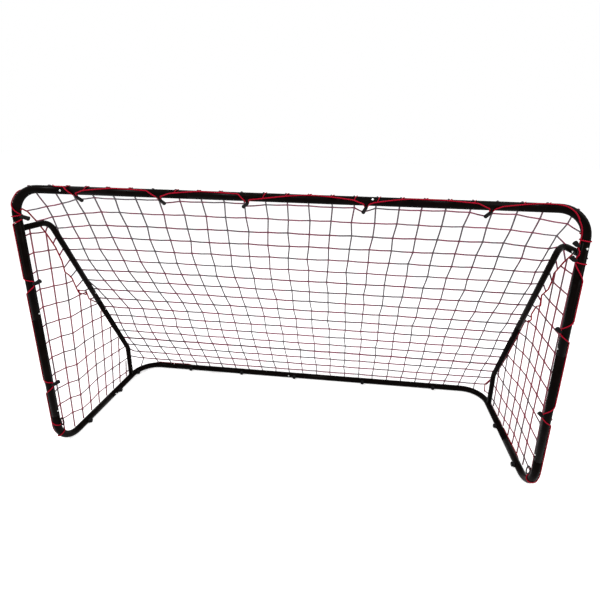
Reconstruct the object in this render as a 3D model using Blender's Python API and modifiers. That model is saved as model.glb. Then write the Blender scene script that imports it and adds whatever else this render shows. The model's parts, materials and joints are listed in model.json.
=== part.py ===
"""A small sports goal: a sectional frame of bent steel tube, spring buttons at its joints, and a net on a rope.

Metres, +Z up. The pieces are modelled in the frame's own coordinates: x = 0 is the middle of the mouth,
y = 0 is the plane of the posts and crossbar, and z = 0 is the centre line of the ground bars.
The parent empty then sets the goal on the ground with its origin at the middle of its footprint.
"""

import math

import bmesh
import bpy
from mathutils import Matrix, Vector

# Frame, measured on the centre lines of its tubes
half_width = 1.050
post_height = 1.188
goal_depth = 0.730
top_bend = 0.105
corner_bend = 0.120
bend_steps = 6

# Tube stock
tube_radius = 0.0160
tube_wall = 0.0012
stay_tube_radius = 0.0125
stay_wall = 0.0010
tube_sides = 12
fit_clearance = 0.0003
foot_flat = 0.0005
near_step = 0.0001
cutter_overshoot = 0.004
cope_reach = 0.030

# Swaged joints, each with its spring button
spigot_length = 0.052
swage_length = 0.005
swage_gap = 0.001
button_inset = 0.026
post_top_inset = 0.019

# Where the joints' buttons are along each run: from the bend that the joint belongs to, or as a share of the run
crossbar_joint_from_post = 0.210
crossbar_inner_joint = 0.322
post_joint_below_top = 0.132
post_joint_share = 0.5631
post_foot_joint = 0.191
left_bar_joint_share = 0.5575
right_bar_joint_share = 0.4521
rear_joint_from_bar = 0.207
rear_middle_joint = -0.104

# Rear stays, in the planes of the posts
stay_below_top = 0.158
stay_knee_y = 0.154
stay_knee_bend = 0.075
stay_foot_from_rear = 0.142
stay_foot_knee = 0.190
stay_foot_bend = 0.050
stay_knee_steps = 4
stay_foot_steps = 3
stub_reach = 0.040
stay_foot_stub_height = 0.105
stay_top_button_y = 0.040
stay_foot_button_z = 0.082
stay_split_share = 0.5524
sleeve_length = 0.170
sleeve_button_spread = 0.064

# Spring buttons
button_radius = 0.0040
button_rise = 0.0025
button_crown = 0.0014
button_nose_radius = 0.0024
button_nose_drop = 0.0004
button_flange = 0.0010
button_flange_width = 0.0014
button_sides = 8

# Net hooks
hook_radius = 0.0045
hook_drop = 0.025
hook_arm = 0.030
post_hook_drop = 0.016
post_hook_arm = 0.018
hook_bend = 0.008
hook_tip_length = 0.0018
hook_tip_radius = 0.0027
peg_radius = 0.0029
collar_radius = 0.0056
collar_height = 0.0012
collar_taper = 0.0008
short_hook_reach = 0.015
short_head_length = 0.005
short_head_radius = 0.0057

# Net, border rope and seam cords
rope_radius = 0.0030
rope_lift = 0.0010
rope_swing = 0.030
stud_passing = 0.0130
cord_radius = 0.0025
twine_width = 0.0025
back_net_columns = 10
side_net_cells = 8
side_net_rows = 7

# Places of the net hooks along each run: from the end of the run that they belong to, or as a share of it
crossbar_end_hooks = (0.260, 0.324)
crossbar_middle_hooks = (-0.459, -0.127, 0.301)
post_hook_below_top = 0.092
right_post_hook_below_top = 0.177
left_post_hook_share = 0.6751
left_post_low_hooks = (0.329, 0.126)
right_post_low_hooks = (0.377, 0.133)
left_bar_front_hook = 0.179
left_bar_hook_share = 0.6082
left_bar_hook_from_rear = 0.098
right_bar_front_hook = 0.153
right_bar_hook_share = 0.5644
rear_end_hooks = (0.325, 0.286)
rear_middle_hooks = (-0.399, -0.069, 0.347)
late_swing = 0.055
rope_angle = 40
rope_fold = 26
rope_step_angle = 47
seam_top_y = 0.060
seam_below_top = 0.085
seam_foot_from_rear = 0.130
seam_foot_z = 0.190
seam_tail = 0.022
cord_off_net = 0.001
side_net_gap = 0.005
side_net_fold = 0.012
net_off_stay = 0.008
net_leaves_stay_share = 0.7404
net_stay_rows = 4
net_knee_drop = 0.022
net_flank_back = 0.016
net_flank_lift = 0.004
net_foot_spread = 0.006
net_foot_turn = (22, 36, 46)
net_top_turn = ((0.040, 0.018, 0.023), (0.018, 0.019, 0.043), (0.002, 0.047, 0.0545))

# Sizes that follow from those above
crossbar_outer_joint = half_width - crossbar_joint_from_post
rear_outer_joint = half_width - rear_joint_from_bar
post_top_joint = post_height - post_joint_below_top
post_middle_joint = post_height * post_joint_share
left_bar_joint = goal_depth * left_bar_joint_share
right_bar_joint = goal_depth * right_bar_joint_share
stay_top = post_height - stay_below_top
stay_foot_y = goal_depth - stay_foot_from_rear
stay_split_z = stay_top - (stay_top - stay_foot_knee) * stay_split_share
stay_length = math.hypot(stay_foot_y - stay_knee_y, stay_top - stay_foot_knee)
net_leaves_stay = stay_length * net_leaves_stay_share
crossbar_hooks = (crossbar_end_hooks[0] - half_width, *crossbar_middle_hooks, half_width - crossbar_end_hooks[1])
rear_hooks = (rear_end_hooks[0] - half_width, *rear_middle_hooks, half_width - rear_end_hooks[1])
top_post_hook = post_height - post_hook_below_top
left_post_hooks = (top_post_hook, post_height * left_post_hook_share, *left_post_low_hooks)
right_post_hooks = (top_post_hook, post_height - right_post_hook_below_top, *right_post_low_hooks)
left_bar_hooks = (left_bar_front_hook, goal_depth * left_bar_hook_share, goal_depth - left_bar_hook_from_rear)
right_bar_hooks = (right_bar_front_hook, goal_depth * right_bar_hook_share)
seam_top_z = post_height - seam_below_top
seam_foot_y = goal_depth - seam_foot_from_rear
seam_slope = (seam_top_z - seam_foot_z) / (seam_foot_y - seam_top_y)
seam_lean = math.cos(math.atan(1 / seam_slope))
post_top_seam = post_top_joint + post_top_inset
facet = math.cos(math.pi / tube_sides)
spigot_radius = tube_radius - (tube_wall + fit_clearance) / facet
stay_insert_radius = stay_tube_radius - (stay_wall + fit_clearance) / facet
rope_rest = tube_radius + rope_lift + rope_radius
rope_turn = (tube_radius + fit_clearance + rope_radius) / math.cos(math.radians(rope_fold))
net_edge = tube_radius + fit_clearance + twine_width / 2
net_foot = rope_turn + rope_radius + fit_clearance + twine_width / 2
net_side = half_width + net_edge

X = Vector((1, 0, 0))
Y = Vector((0, 1, 0))
Z = Vector((0, 0, 1))


def clear_scene():
    for item in list(bpy.data.objects):
        bpy.data.objects.remove(item, do_unlink=True)


def new_collection(name):
    collection = bpy.data.collections.new(name)
    bpy.context.scene.collection.children.link(collection)
    return collection


clear_scene()
goal = new_collection("sports_goal")
helpers = new_collection("cutters_and_inserts")

root = bpy.data.objects.new("goal_on_the_ground", None)
root.location = (0, (rope_turn - rope_rest - goal_depth) / 2, tube_radius - foot_flat)
goal.objects.link(root)


# Materials
def material(name, colour, roughness, metallic):
    made = bpy.data.materials.new(name)
    made.use_nodes = True
    shader = made.node_tree.nodes["Principled BSDF"]
    shader.inputs["Base Color"].default_value = (*colour, 1)
    shader.inputs["Roughness"].default_value = roughness
    shader.inputs["Metallic"].default_value = metallic
    made.diffuse_color = (*colour, 1)
    return made


powder_coat = material("black_powder_coated_steel", (0.010, 0.008, 0.009), 0.32, 0.0)
zinc_steel = material("zinc_plated_spring_steel", (0.62, 0.62, 0.60), 0.30, 1.0)
black_plastic = material("black_moulded_polypropylene", (0.008, 0.007, 0.008), 0.40, 0.0)
red_rope = material("red_polyester_rope", (0.36, 0.004, 0.020), 0.80, 0.0)
dark_twine = material("dark_red_and_black_twine", (0.045, 0.010, 0.014), 0.85, 0.0)


# Building blocks
def add_object(name, mesh, look, collection=None):
    made = bpy.data.objects.new(name, mesh)
    (collection or goal).objects.link(made)
    made.parent = root
    if look:
        mesh.materials.clear()
        mesh.materials.append(look)
    if collection is helpers:
        made.hide_render = True
        made.display_type = "WIRE"
    return made


def swept(name, points, radii, resolution, closed=False, capped=True):
    """A mesh swept along points, its radius given at each, made from a poly curve with a round bevel."""
    curve = bpy.data.curves.new(name + "_path", "CURVE")
    curve.dimensions = "3D"
    curve.bevel_depth = max(radii)
    curve.bevel_resolution = resolution
    curve.use_fill_caps = capped and not closed
    spline = curve.splines.new("POLY")
    spline.points.add(len(points) - 1)
    spline.use_cyclic_u = closed
    for knot, point, radius in zip(spline.points, points, radii):
        knot.co = (*point, 1)
        knot.radius = radius / curve.bevel_depth
    guide = bpy.data.objects.new(name + "_guide", curve)
    helpers.objects.link(guide)
    bpy.context.view_layer.update()
    evaluated = guide.evaluated_get(bpy.context.evaluated_depsgraph_get())
    mesh = bpy.data.meshes.new_from_object(evaluated)
    bpy.data.objects.remove(guide)
    bpy.data.curves.remove(curve)
    mesh.name = name
    shape = bmesh.new()
    shape.from_mesh(mesh)
    bmesh.ops.remove_doubles(shape, verts=shape.verts, dist=0.00001)
    shape.to_mesh(mesh)
    shape.free()
    mesh.shade_smooth()
    mesh.set_sharp_from_angle(angle=math.radians(50))
    return mesh


def rounded(corners, bend_radii, steps=bend_steps):
    """The corners' path with an arc of the given radius at each inner corner."""
    path = [Vector(corners[0])]
    for before, corner, after, radius in zip(corners, corners[1:], corners[2:], bend_radii):
        corner = Vector(corner)
        back = (Vector(before) - corner).normalized()
        ahead = (Vector(after) - corner).normalized()
        half = back.angle(ahead) / 2
        centre = corner + (back + ahead).normalized() * radius / math.sin(half)
        start = corner + back * radius / math.tan(half) - centre
        axis = ahead.cross(back)
        for step in range(steps + 1):
            turn = Matrix.Rotation((math.pi - 2 * half) * step / steps, 3, axis)
            path.append(centre + turn @ start)
    path.append(Vector(corners[-1]))
    return path


def swage(seam, along):
    """Points and radii of a spigot that leaves its tube at the seam and runs on into the next one."""
    radii = [tube_radius, spigot_radius, spigot_radius]
    places = [-(swage_gap + swage_length), -swage_gap, spigot_length]
    return [seam + along * place for place in places], radii


def tube(name, corners, bend_radii=(), spigot_first=False, spigot_last=False):
    """A piece of the main tube. Its ends are at the seams, and a spigot carries on past its seam."""
    path = rounded(corners, bend_radii)
    radii = [tube_radius] * len(path)
    if spigot_first:
        points, sizes = swage(path[0], (path[0] - path[1]).normalized())
        path[:1] = points[::-1]
        radii[:1] = sizes[::-1]
    if spigot_last:
        points, sizes = swage(path[-1], (path[-1] - path[-2]).normalized())
        path[-1:] = points
        radii[-1:] = sizes
    return hollow(name, path, radii, tube_wall, powder_coat)


def hollow(name, path, radii, wall, look):
    made = add_object(name, swept(name, path, radii, tube_sides // 2 - 2, capped=False), look)
    shell = made.modifiers.new("wall", "SOLIDIFY")
    shell.thickness = wall
    shell.offset = -1
    shell.use_even_offset = True
    shell.use_rim = True
    return made


def cylinder(name, radius, start, end, outward, sides):
    """A helper cylinder along outward, from start to end of it."""
    shape = bmesh.new()
    bmesh.ops.create_cone(shape, cap_ends=True, segments=sides, radius1=radius, radius2=radius, depth=end - start)
    bmesh.ops.translate(shape, verts=shape.verts, vec=(0, 0, (start + end) / 2))
    mesh = bpy.data.meshes.new(name)
    shape.to_mesh(mesh)
    shape.free()
    made = add_object(name, mesh, powder_coat, helpers)
    made.rotation_mode = "QUATERNION"
    made.rotation_quaternion = outward.to_track_quat("Z", "Y")
    return made


def boolean(target, other, operation):
    step = target.modifiers.new(other.name, "BOOLEAN")
    step.operation = operation
    step.solver = "EXACT"
    step.object = other


# Frame tubes
def crossbar():
    outer_seam = crossbar_outer_joint - button_inset
    inner_seam = crossbar_inner_joint + button_inset
    top = post_height
    middle = tube("crossbar_middle", [(-inner_seam, 0, top), (inner_seam, 0, top)])
    left = tube("crossbar_left", [(-outer_seam, 0, top), (-inner_seam, 0, top)], (), True, True)
    right = tube("crossbar_right", [(inner_seam, 0, top), (outer_seam, 0, top)], (), True, True)
    return {"middle": middle, "left": left, "right": right}


def side_frame(side, word, bar_joint):
    """The corner pieces and the post of one side. The side is -1 on the left and 1 on the right."""
    x = side * half_width
    crossbar_seam = (side * (crossbar_outer_joint - button_inset), 0, post_height)
    post_middle_seam = post_middle_joint - button_inset
    post_foot_seam = post_foot_joint - button_inset
    bar_seam = bar_joint - button_inset
    rear_seam = side * (rear_outer_joint - button_inset)
    pieces = {}
    pieces["top_corner"] = tube(
        f"top_corner_{word}",
        [crossbar_seam, (x, 0, post_height), (x, 0, post_top_seam)],
        (top_bend,),
        spigot_last=True,
    )
    pieces["upper_post"] = tube(f"upper_post_{word}", [(x, 0, post_top_seam), (x, 0, post_middle_seam)])
    pieces["lower_post"] = tube(
        f"lower_post_{word}", [(x, 0, post_middle_seam), (x, 0, post_foot_seam)], (), spigot_first=True
    )
    pieces["bottom_corner"] = tube(
        f"bottom_corner_{word}",
        [(x, 0, post_foot_seam), (x, 0, 0), (x, bar_seam, 0)],
        (corner_bend,),
        spigot_first=True,
        spigot_last=True,
    )
    pieces["rear_corner"] = tube(
        f"rear_corner_{word}", [(x, bar_seam, 0), (x, goal_depth, 0), (rear_seam, goal_depth, 0)], (corner_bend,)
    )
    return pieces


def rear_bar():
    outer_seam = rear_outer_joint - button_inset
    middle_seam = rear_middle_joint - button_inset
    left = tube(
        "rear_bar_left", [(-outer_seam, goal_depth, 0), (middle_seam, goal_depth, 0)], (), True, True
    )
    right = tube("rear_bar_right", [(middle_seam, goal_depth, 0), (outer_seam, goal_depth, 0)], (), False, True)
    return {"left": left, "right": right}


def stay_corners(x):
    """The stay's centre line: back from the post, down a slant to the foot, and straight down onto the bar."""
    return [(x, tube_radius + fit_clearance, stay_top), (x, stay_knee_y, stay_top),
            (x, stay_foot_y, stay_foot_knee), (x, stay_foot_y, tube_radius + fit_clearance)]


def stay_slant():
    """The unit vector down the slanted run of a stay."""
    return Vector((0, stay_foot_y - stay_knee_y, stay_foot_knee - stay_top)).normalized()


def stay_split(x):
    share = (stay_top - stay_split_z) / (stay_top - stay_foot_knee)
    return Vector((x, stay_knee_y + (stay_foot_y - stay_knee_y) * share, stay_split_z))


def stay(side, word):
    """The two tubes of a rear stay and the sleeve inside them where they meet."""
    x = side * half_width
    top, knee, foot_knee, foot = stay_corners(x)
    split = stay_split(x)
    down = stay_slant()
    upper_path = rounded([top, knee, split], (stay_knee_bend,), stay_knee_steps)
    lower_path = rounded([split + down * fit_clearance, foot_knee, foot], (stay_foot_bend,), stay_foot_steps)
    sleeve_path = [split - down * sleeve_length / 2, split + down * sleeve_length / 2]
    return {
        "upper_stay": hollow(f"upper_stay_{word}", upper_path, [stay_tube_radius] * len(upper_path), stay_wall, powder_coat),
        "lower_stay": hollow(f"lower_stay_{word}", lower_path, [stay_tube_radius] * len(lower_path), stay_wall, powder_coat),
        "stay_sleeve": hollow(f"stay_sleeve_{word}", sleeve_path, [stay_insert_radius] * 2, stay_wall, powder_coat),
    }


def welded_stub(name, target, place, outward, length):
    """A hollow stub welded to the side of a tube, which a stay slides over. It is coped to the tube's wall."""
    stub = cylinder(name, stay_insert_radius, 0, length, outward, tube_sides)
    stub.location = place
    cope_radius = tube_radius - tube_wall + near_step
    cope = cylinder(name + "_cope", cope_radius, -cope_reach, cope_reach, outward.cross(X), 2 * tube_sides)
    cope.location = place
    bore_start = tube_radius + fit_clearance
    bore_end = length + cutter_overshoot
    bore = cylinder(name + "_bore", stay_insert_radius - stay_wall, bore_start, bore_end, outward, tube_sides)
    bore.location = place
    boolean(stub, cope, "DIFFERENCE")
    boolean(stub, bore, "DIFFERENCE")
    boolean(target, stub, "UNION")


# Spring buttons
def turned(name, profile, look, steps):
    """A body turned about its local Z from a profile of (radius, height), top to bottom."""
    mesh = bpy.data.meshes.new(name)
    mesh.from_pydata([(radius, 0, height) for radius, height in profile], [(i, i + 1) for i in range(len(profile) - 1)], [])
    made = add_object(name, mesh, look)
    screw = made.modifiers.new("turn", "SCREW")
    screw.steps = steps
    screw.render_steps = steps
    screw.use_merge_vertices = True
    screw.merge_threshold = 0.00001
    screw.use_smooth_shade = True
    return made


def button(name, place, outward, outer, bore, holed):
    """A spring button that stands out through the walls of two tubes that fit together. Its axis is its local Z."""
    flange_top = math.sqrt((bore * facet) ** 2 - (button_radius + button_flange_width) ** 2) - fit_clearance
    tip = outer + button_rise
    profile = [
        (0, tip),
        (button_nose_radius, tip - button_nose_drop),
        (button_radius, tip - button_crown),
        (button_radius, flange_top),
        (button_radius + button_flange_width, flange_top),
        (button_radius + button_flange_width, flange_top - button_flange),
        (0, flange_top - button_flange),
    ]
    made = turned(name, profile, zinc_steel, button_sides)
    made.location = place
    made.rotation_mode = "QUATERNION"
    made.rotation_quaternion = outward.to_track_quat("Z", "Y")
    hole = cylinder(name + "_hole", button_radius + fit_clearance, bore / 2, outer + cutter_overshoot, outward, button_sides)
    hole.location = place
    for piece in holed:
        boolean(piece, hole, "DIFFERENCE")


def facing(outer_way, front_way, degrees):
    """A direction round a tube: 0 degrees is outer_way and 90 is front_way."""
    turn = math.radians(degrees)
    return (outer_way * math.cos(turn) + front_way * math.sin(turn)).normalized()


def main_buttons(cross, left, right, rear):
    bore = spigot_radius - tube_wall / facet
    top = post_height
    depth = goal_depth
    front = -Y
    plans = [
        ("button_crossbar_outer_left", (-crossbar_outer_joint, 0, top), facing(Z, front, 90),
         (left["top_corner"], cross["left"])),
        ("button_crossbar_outer_right", (crossbar_outer_joint, 0, top), facing(Z, front, 225),
         (right["top_corner"], cross["right"])),
        ("button_crossbar_inner_left", (-crossbar_inner_joint, 0, top), facing(Z, front, 225),
         (cross["middle"], cross["left"])),
        ("button_crossbar_inner_right", (crossbar_inner_joint, 0, top), facing(Z, front, 57),
         (cross["middle"], cross["right"])),
        ("button_rear_outer_left", (-rear_outer_joint, depth, 0), Z, (left["rear_corner"], rear["left"])),
        ("button_rear_outer_right", (rear_outer_joint, depth, 0), facing(Y, Z, 40),
         (right["rear_corner"], rear["right"])),
        ("button_rear_middle", (rear_middle_joint, depth, 0), facing(Y, Z, 167), (rear["right"], rear["left"])),
    ]
    for side, word, pieces, bar_joint, bar_way in (
        (-1, "left", left, left_bar_joint, 180), (1, "right", right, right_bar_joint, 28),
    ):
        x = side * half_width
        outer_way = X * side
        top_way = facing(outer_way, front, 90 if side < 0 else 75)
        plans += [
            (f"button_post_top_{word}", (x, 0, post_top_joint), top_way,
             (pieces["top_corner"], pieces["upper_post"])),
            (f"button_post_middle_{word}", (x, 0, post_middle_joint), -outer_way,
             (pieces["upper_post"], pieces["lower_post"])),
            (f"button_post_foot_{word}", (x, 0, post_foot_joint), -outer_way,
             (pieces["lower_post"], pieces["bottom_corner"])),
            (f"button_ground_bar_{word}", (x, bar_joint, 0), facing(outer_way, Z, bar_way),
             (pieces["bottom_corner"], pieces["rear_corner"])),
        ]
    for name, place, outward, holed in plans:
        button(name, place, outward, tube_radius, bore, holed)


def stay_buttons(side, word, pieces, stays):
    x = side * half_width
    inner = -X * side
    hidden = inner if side > 0 else -inner
    bore = stay_insert_radius - stay_wall / facet
    split = stay_split(x)
    down = stay_slant() * sleeve_button_spread
    plans = [
        (f"button_stay_top_{word}", (x, stay_top_button_y, stay_top), hidden,
         (stays["upper_stay"], pieces["upper_post"])),
        (f"button_stay_foot_{word}", (x, stay_foot_y, stay_foot_button_z), -hidden,
         (stays["lower_stay"], pieces["rear_corner"])),
        (f"button_sleeve_upper_{word}", split - down, inner, (stays["upper_stay"], stays["stay_sleeve"])),
        (f"button_sleeve_lower_{word}", split + down, inner, (stays["lower_stay"], stays["stay_sleeve"])),
    ]
    for name, place, outward, holed in plans:
        button(name, place, outward, stay_tube_radius, bore, holed)


# Net hooks
def hook_points(inward, arm_way, start, drop, arm):
    """A hook's centre line from inside the tube's wall: straight in, then round and along arm_way."""
    elbow = tube_radius + drop
    path = rounded([inward * start, inward * elbow, inward * elbow + arm_way * arm], (hook_bend,), 2)
    tip = path[-1] + arm_way * hook_tip_length
    return path + [tip], [hook_radius] * len(path) + [hook_tip_radius]


def short_hook_points(inward, start):
    """A short round-headed hook on a ground bar."""
    reach = tube_radius + short_hook_reach
    widest = reach - short_head_length * 0.4
    places = [start, reach - short_head_length, widest, reach, reach + hook_tip_length]
    radii = [hook_radius, hook_radius, short_head_radius, short_head_radius, hook_tip_radius]
    return [inward * place for place in places], radii


def plugged(points, radii, inward):
    """A peg and a collar put before a hook that is a piece of its own."""
    collar_foot = tube_radius + fit_clearance
    collar_top = collar_foot + collar_height
    peg_end = tube_radius - tube_wall + 2 * near_step
    places = [peg_end, collar_foot - near_step, collar_foot, collar_top, collar_top + collar_taper]
    sizes = [peg_radius, peg_radius, collar_radius, collar_radius, hook_radius]
    return [inward * place for place in places] + points[1:], sizes + radii[1:]


def separate_hook(name, place, inward, points, radii, tube_piece):
    points, radii = plugged(points, radii, inward)
    made = add_object(name, swept(name, points, radii, 1), black_plastic)
    made.location = place
    hole = cylinder(name + "_hole", peg_radius + fit_clearance, tube_radius / 2, tube_radius + cutter_overshoot, inward, 8)
    hole.location = place
    boolean(tube_piece, hole, "DIFFERENCE")


def fixed_hook(name, place, points, radii, tube_piece):
    insert = add_object(name, swept(name, points, radii, 1), black_plastic, helpers)
    insert.location = place
    boolean(tube_piece, insert, "UNION")


def carrier(place, runs):
    """The tube of a run whose full stock is at this place: runs lists (end of the run, piece) in order."""
    return next(piece for end, piece in runs if place <= end)


def hook_seat(station):
    """The centre line's point at a station of the loop, and the ways inward and away from the front there."""
    centre = route.point(station, 0, 0)
    return centre, centre - route.point(station, 0, 1), centre - route.point(station, 90, 1)


def net_hooks(cross, left, right, rear):
    inside_wall = tube_radius - tube_wall * 0.75
    seam = crossbar_inner_joint + button_inset
    runs = [(-seam, cross["left"]), (seam, cross["middle"]), (half_width, cross["right"])]
    for number, place in enumerate(crossbar_hooks, 1):
        centre, inward, back = hook_seat(place % route.length)
        points, radii = hook_points(inward, back, inside_wall, hook_drop, hook_arm)
        separate_hook(f"crossbar_hook_{number}", centre, inward, points, radii, carrier(place, runs))
    runs = [(rear_middle_joint - button_inset, rear["left"]), (half_width, rear["right"])]
    for number, place in enumerate(rear_hooks, 1):
        centre, inward, back = hook_seat(rear_station(place))
        points, radii = short_hook_points(inward, inside_wall)
        separate_hook(f"rear_bar_hook_{number}", centre, inward, points, radii, carrier(place, runs))
    post_runs = ((post_foot_joint - button_inset, "bottom_corner"), (post_middle_joint - button_inset, "lower_post"),
                 (post_top_seam, "upper_post"), (post_height, "top_corner"))
    for mirrored, pieces, places in ((True, left, left_post_hooks), (False, right, right_post_hooks)):
        for number, place in enumerate(places, 1):
            piece = pieces[carrier(place, post_runs)]
            station = route.length - post_station(place) if mirrored else post_station(place)
            centre, inward, back = hook_seat(station)
            upward = (Z - inward * inward.z).normalized()
            points, radii = hook_points(inward, upward, inside_wall, post_hook_drop, post_hook_arm)
            fixed_hook(f"{piece.name}_hook_{number}", centre, points, radii, piece)
    for mirrored, pieces, places, joint in (
        (True, left, left_bar_hooks, left_bar_joint), (False, right, right_bar_hooks, right_bar_joint),
    ):
        bar_runs = ((joint - button_inset, "bottom_corner"), (goal_depth, "rear_corner"))
        for number, place in enumerate(places, 1):
            piece = pieces[carrier(place, bar_runs)]
            station = route.length - bar_station(place) if mirrored else bar_station(place)
            centre, inward, back = hook_seat(station)
            points, radii = short_hook_points(inward, inside_wall)
            fixed_hook(f"{piece.name}_hook_{number}", centre, points, radii, piece)


# Border rope: a closed loop round the frame, which swings over each tube to its hooks
class Route:
    """The frame's centre line as a loop from the middle of the crossbar, to the right and down."""

    def __init__(self):
        self.runs = []
        self.length = 0
        self.place = Vector((0, 0, post_height))
        self.along = X.copy()
        self.outer = Z.copy()
        self.front = -Y
        upright = post_height - top_bend - corner_bend
        bar = goal_depth - 2 * corner_bend
        across = 2 * (half_width - corner_bend)
        half_top = half_width - top_bend
        for half in range(2):
            self.straight(half_top if half == 0 else 0)
            self.bend("outer", top_bend if half == 0 else corner_bend)
            self.straight(upright if half == 0 else bar)
            self.bend("front", corner_bend)
            self.straight(bar if half == 0 else upright)
            self.bend("outer", corner_bend if half == 0 else top_bend)
            self.straight(across if half == 0 else half_top)

    def straight(self, length):
        self.runs.append((self.length, length, self.place.copy(), self.along.copy(), self.outer.copy(),
                          self.front.copy(), None, 0))
        self.place += self.along * length
        self.length += length

    def bend(self, way, radius):
        length = radius * math.pi / 2
        self.runs.append((self.length, length, self.place.copy(), self.along.copy(), self.outer.copy(),
                          self.front.copy(), way, radius))
        out = (self.outer if way == "outer" else self.front).copy()
        along = self.along.copy()
        self.place += (along - out) * radius
        self.along = -out
        if way == "outer":
            self.outer = along
        else:
            self.front = along
        self.length += length

    def point(self, distance, degrees, radius):
        """The point this far along the loop, at an angle round the tube from its outer side towards its front."""
        distance %= self.length
        start, length, place, along, outer, front, way, bend_radius = next(
            run for run in reversed(self.runs) if run[0] <= distance
        )
        if way:
            turn = (distance - start) / bend_radius
            out = outer if way == "outer" else front
            new_out = out * math.cos(turn) + along * math.sin(turn)
            place = place + (new_out - out) * bend_radius
            outer, front = (new_out, front) if way == "outer" else (outer, new_out)
        else:
            place = place + along * (distance - start)
        return place + facing(outer, front, degrees) * radius


route = Route()


def post_station(z):
    """How far along the loop a height of the right-hand post or top bend is."""
    straight_top = post_height - top_bend
    past = max(0, z - straight_top)
    top_end = half_width - top_bend + top_bend * math.pi / 2
    return top_end + max(0, straight_top - z) - top_bend * math.asin(past / top_bend)


def bar_station(y):
    """How far along the loop a depth of the right-hand ground bar or rear bend is."""
    bar_end = goal_depth - corner_bend
    past = max(0, y - bar_end)
    return foot_bend_end + min(y, bar_end) - corner_bend + corner_bend * math.asin(past / corner_bend)


foot_bend_start = post_station(corner_bend)
foot_bend_end = foot_bend_start + corner_bend * math.pi / 2
rear_start = bar_station(goal_depth - corner_bend) + corner_bend * math.pi / 2


def rear_station(x):
    """How far along the loop a place on the rear bar is."""
    return rear_start + half_width - corner_bend - x


def rest_angle(station):
    """Where the rope lies on the tube: front and outside on the crossbar and posts, outside on the ground bars."""
    station = min(station, route.length - station)
    share = (station - foot_bend_start) / (foot_bend_end - foot_bend_start)
    return rope_angle * (1 - min(max(share, 0), 1))


def hook_swings():
    """(station, way round the tube, reach before, reach after) of each hook, in the order of the loop."""
    swings = []
    for place in crossbar_hooks:
        after = late_swing if 0 < crossbar_inner_joint - place < rope_swing else rope_swing
        swings.append((place % route.length, 1, rope_swing, after))
    swings += [(post_station(place), 1, rope_swing, rope_swing) for place in right_post_hooks]
    swings += [(route.length - post_station(place), 1, rope_swing, rope_swing) for place in left_post_hooks]
    swings += [(bar_station(place), -1, rope_swing, rope_swing) for place in right_bar_hooks]
    swings += [(route.length - bar_station(place), -1, rope_swing, rope_swing) for place in left_bar_hooks]
    swings += [(rear_station(place), -1, rope_swing, rope_swing) for place in rear_hooks]
    return sorted(swings)


def bend_stations():
    """Stations along the bends, where the rope needs points of its own."""
    half = []
    for start, radius in (
        (half_width - top_bend, top_bend),
        (foot_bend_start, corner_bend),
        (rear_start - corner_bend * math.pi / 2, corner_bend),
    ):
        half += [start + radius * math.pi / 2 * step / bend_steps for step in range(bend_steps + 1)]
    return half + [route.length - station for station in half]


def rope_stations():
    """(station, angle, radius) along the rope: it rests outside, and passes behind the stud of each hook."""
    swings = hook_swings()
    taken = [(station - before, station + after) for station, way, before, after in swings]
    knots = []
    for station in bend_stations():
        if not any(low < station < high for low, high in taken):
            knots.append((station, rest_angle(station), rope_rest))
    for station, way, before, after in swings:
        behind = math.degrees(stud_passing / rope_turn)
        for side, reach in ((-1, before), (1, after)):
            rest = rest_angle(station + side * reach)
            over = way * 180 - rest
            steps = math.ceil(abs(over) / rope_step_angle)
            lateness = 1 if reach == rope_swing else 2
            for step in range(steps + 1):
                share = step / steps
                place = station + side * (reach + (stud_passing - reach) * share**lateness)
                knots.append((place, rest + over * share, rope_turn if step else rope_rest))
        knots.append((station, way * (180 + behind), rope_turn))
    return sorted(knots)


def border_rope():
    points = [route.point(*knot) for knot in rope_stations()]
    add_object("border_rope", swept("border_rope", points, [rope_radius] * len(points), 1, closed=True), red_rope)


# Seam cords and nets
def seam_y(z):
    """The depth of the seam between back and side net at a height: a straight lacing line."""
    return seam_top_y + (seam_top_z - z) / seam_slope


def wrapped_x(y):
    """How far out a net or cord lies at a depth: beside the ground bar, then drawn in round the rear corner."""
    straight = goal_depth - corner_bend
    past = max(0, y - straight)
    return half_width - corner_bend + math.sqrt((corner_bend + net_edge) ** 2 - past**2)


def seam_cord(side, word):
    end_z = rope_radius + cord_radius + fit_clearance
    end_turn = math.asin((seam_y(end_z) - goal_depth + corner_bend) / (corner_bend + rope_rest))
    end_x = half_width - corner_bend + (corner_bend + rope_rest) * math.cos(end_turn)
    outside = net_side + cord_off_net
    points = [
        (half_width, tube_radius + cord_radius + cord_off_net, seam_top_z + seam_tail),
        (outside, seam_top_y, seam_top_z),
        (outside, seam_foot_y, seam_foot_z),
        (wrapped_x(seam_y(seam_foot_z / 2)), seam_y(seam_foot_z / 2), seam_foot_z / 2),
        (end_x, seam_y(end_z), end_z),
    ]
    points = [Vector((side * x, y, z)) for x, y, z in points]
    add_object(f"seam_cord_{word}", swept(f"seam_cord_{word}", points, [cord_radius] * len(points), 2), red_rope)


def lattice(name, rows):
    """A net of square twine struts on the rows of points, as one closed body."""
    shape = bmesh.new()
    lines = [[shape.verts.new(point) for point in row] for row in rows]
    for upper, lower in zip(lines, lines[1:]):
        for column in range(min(len(upper), len(lower)) - 1):
            shape.faces.new([upper[column], upper[column + 1], lower[column + 1], lower[column]])
        if len(upper) < len(lower):
            shape.faces.new([upper[-1], lower[-1], lower[-2]])
    bmesh.ops.recalc_face_normals(shape, faces=shape.faces)
    mesh = bpy.data.meshes.new(name)
    shape.to_mesh(mesh)
    shape.free()
    made = add_object(name, mesh, dark_twine)
    twine = made.modifiers.new("twine", "WIREFRAME")
    twine.thickness = twine_width
    twine.use_boundary = True
    twine.use_replace = True
    twine.use_even_offset = True
    return made


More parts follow.
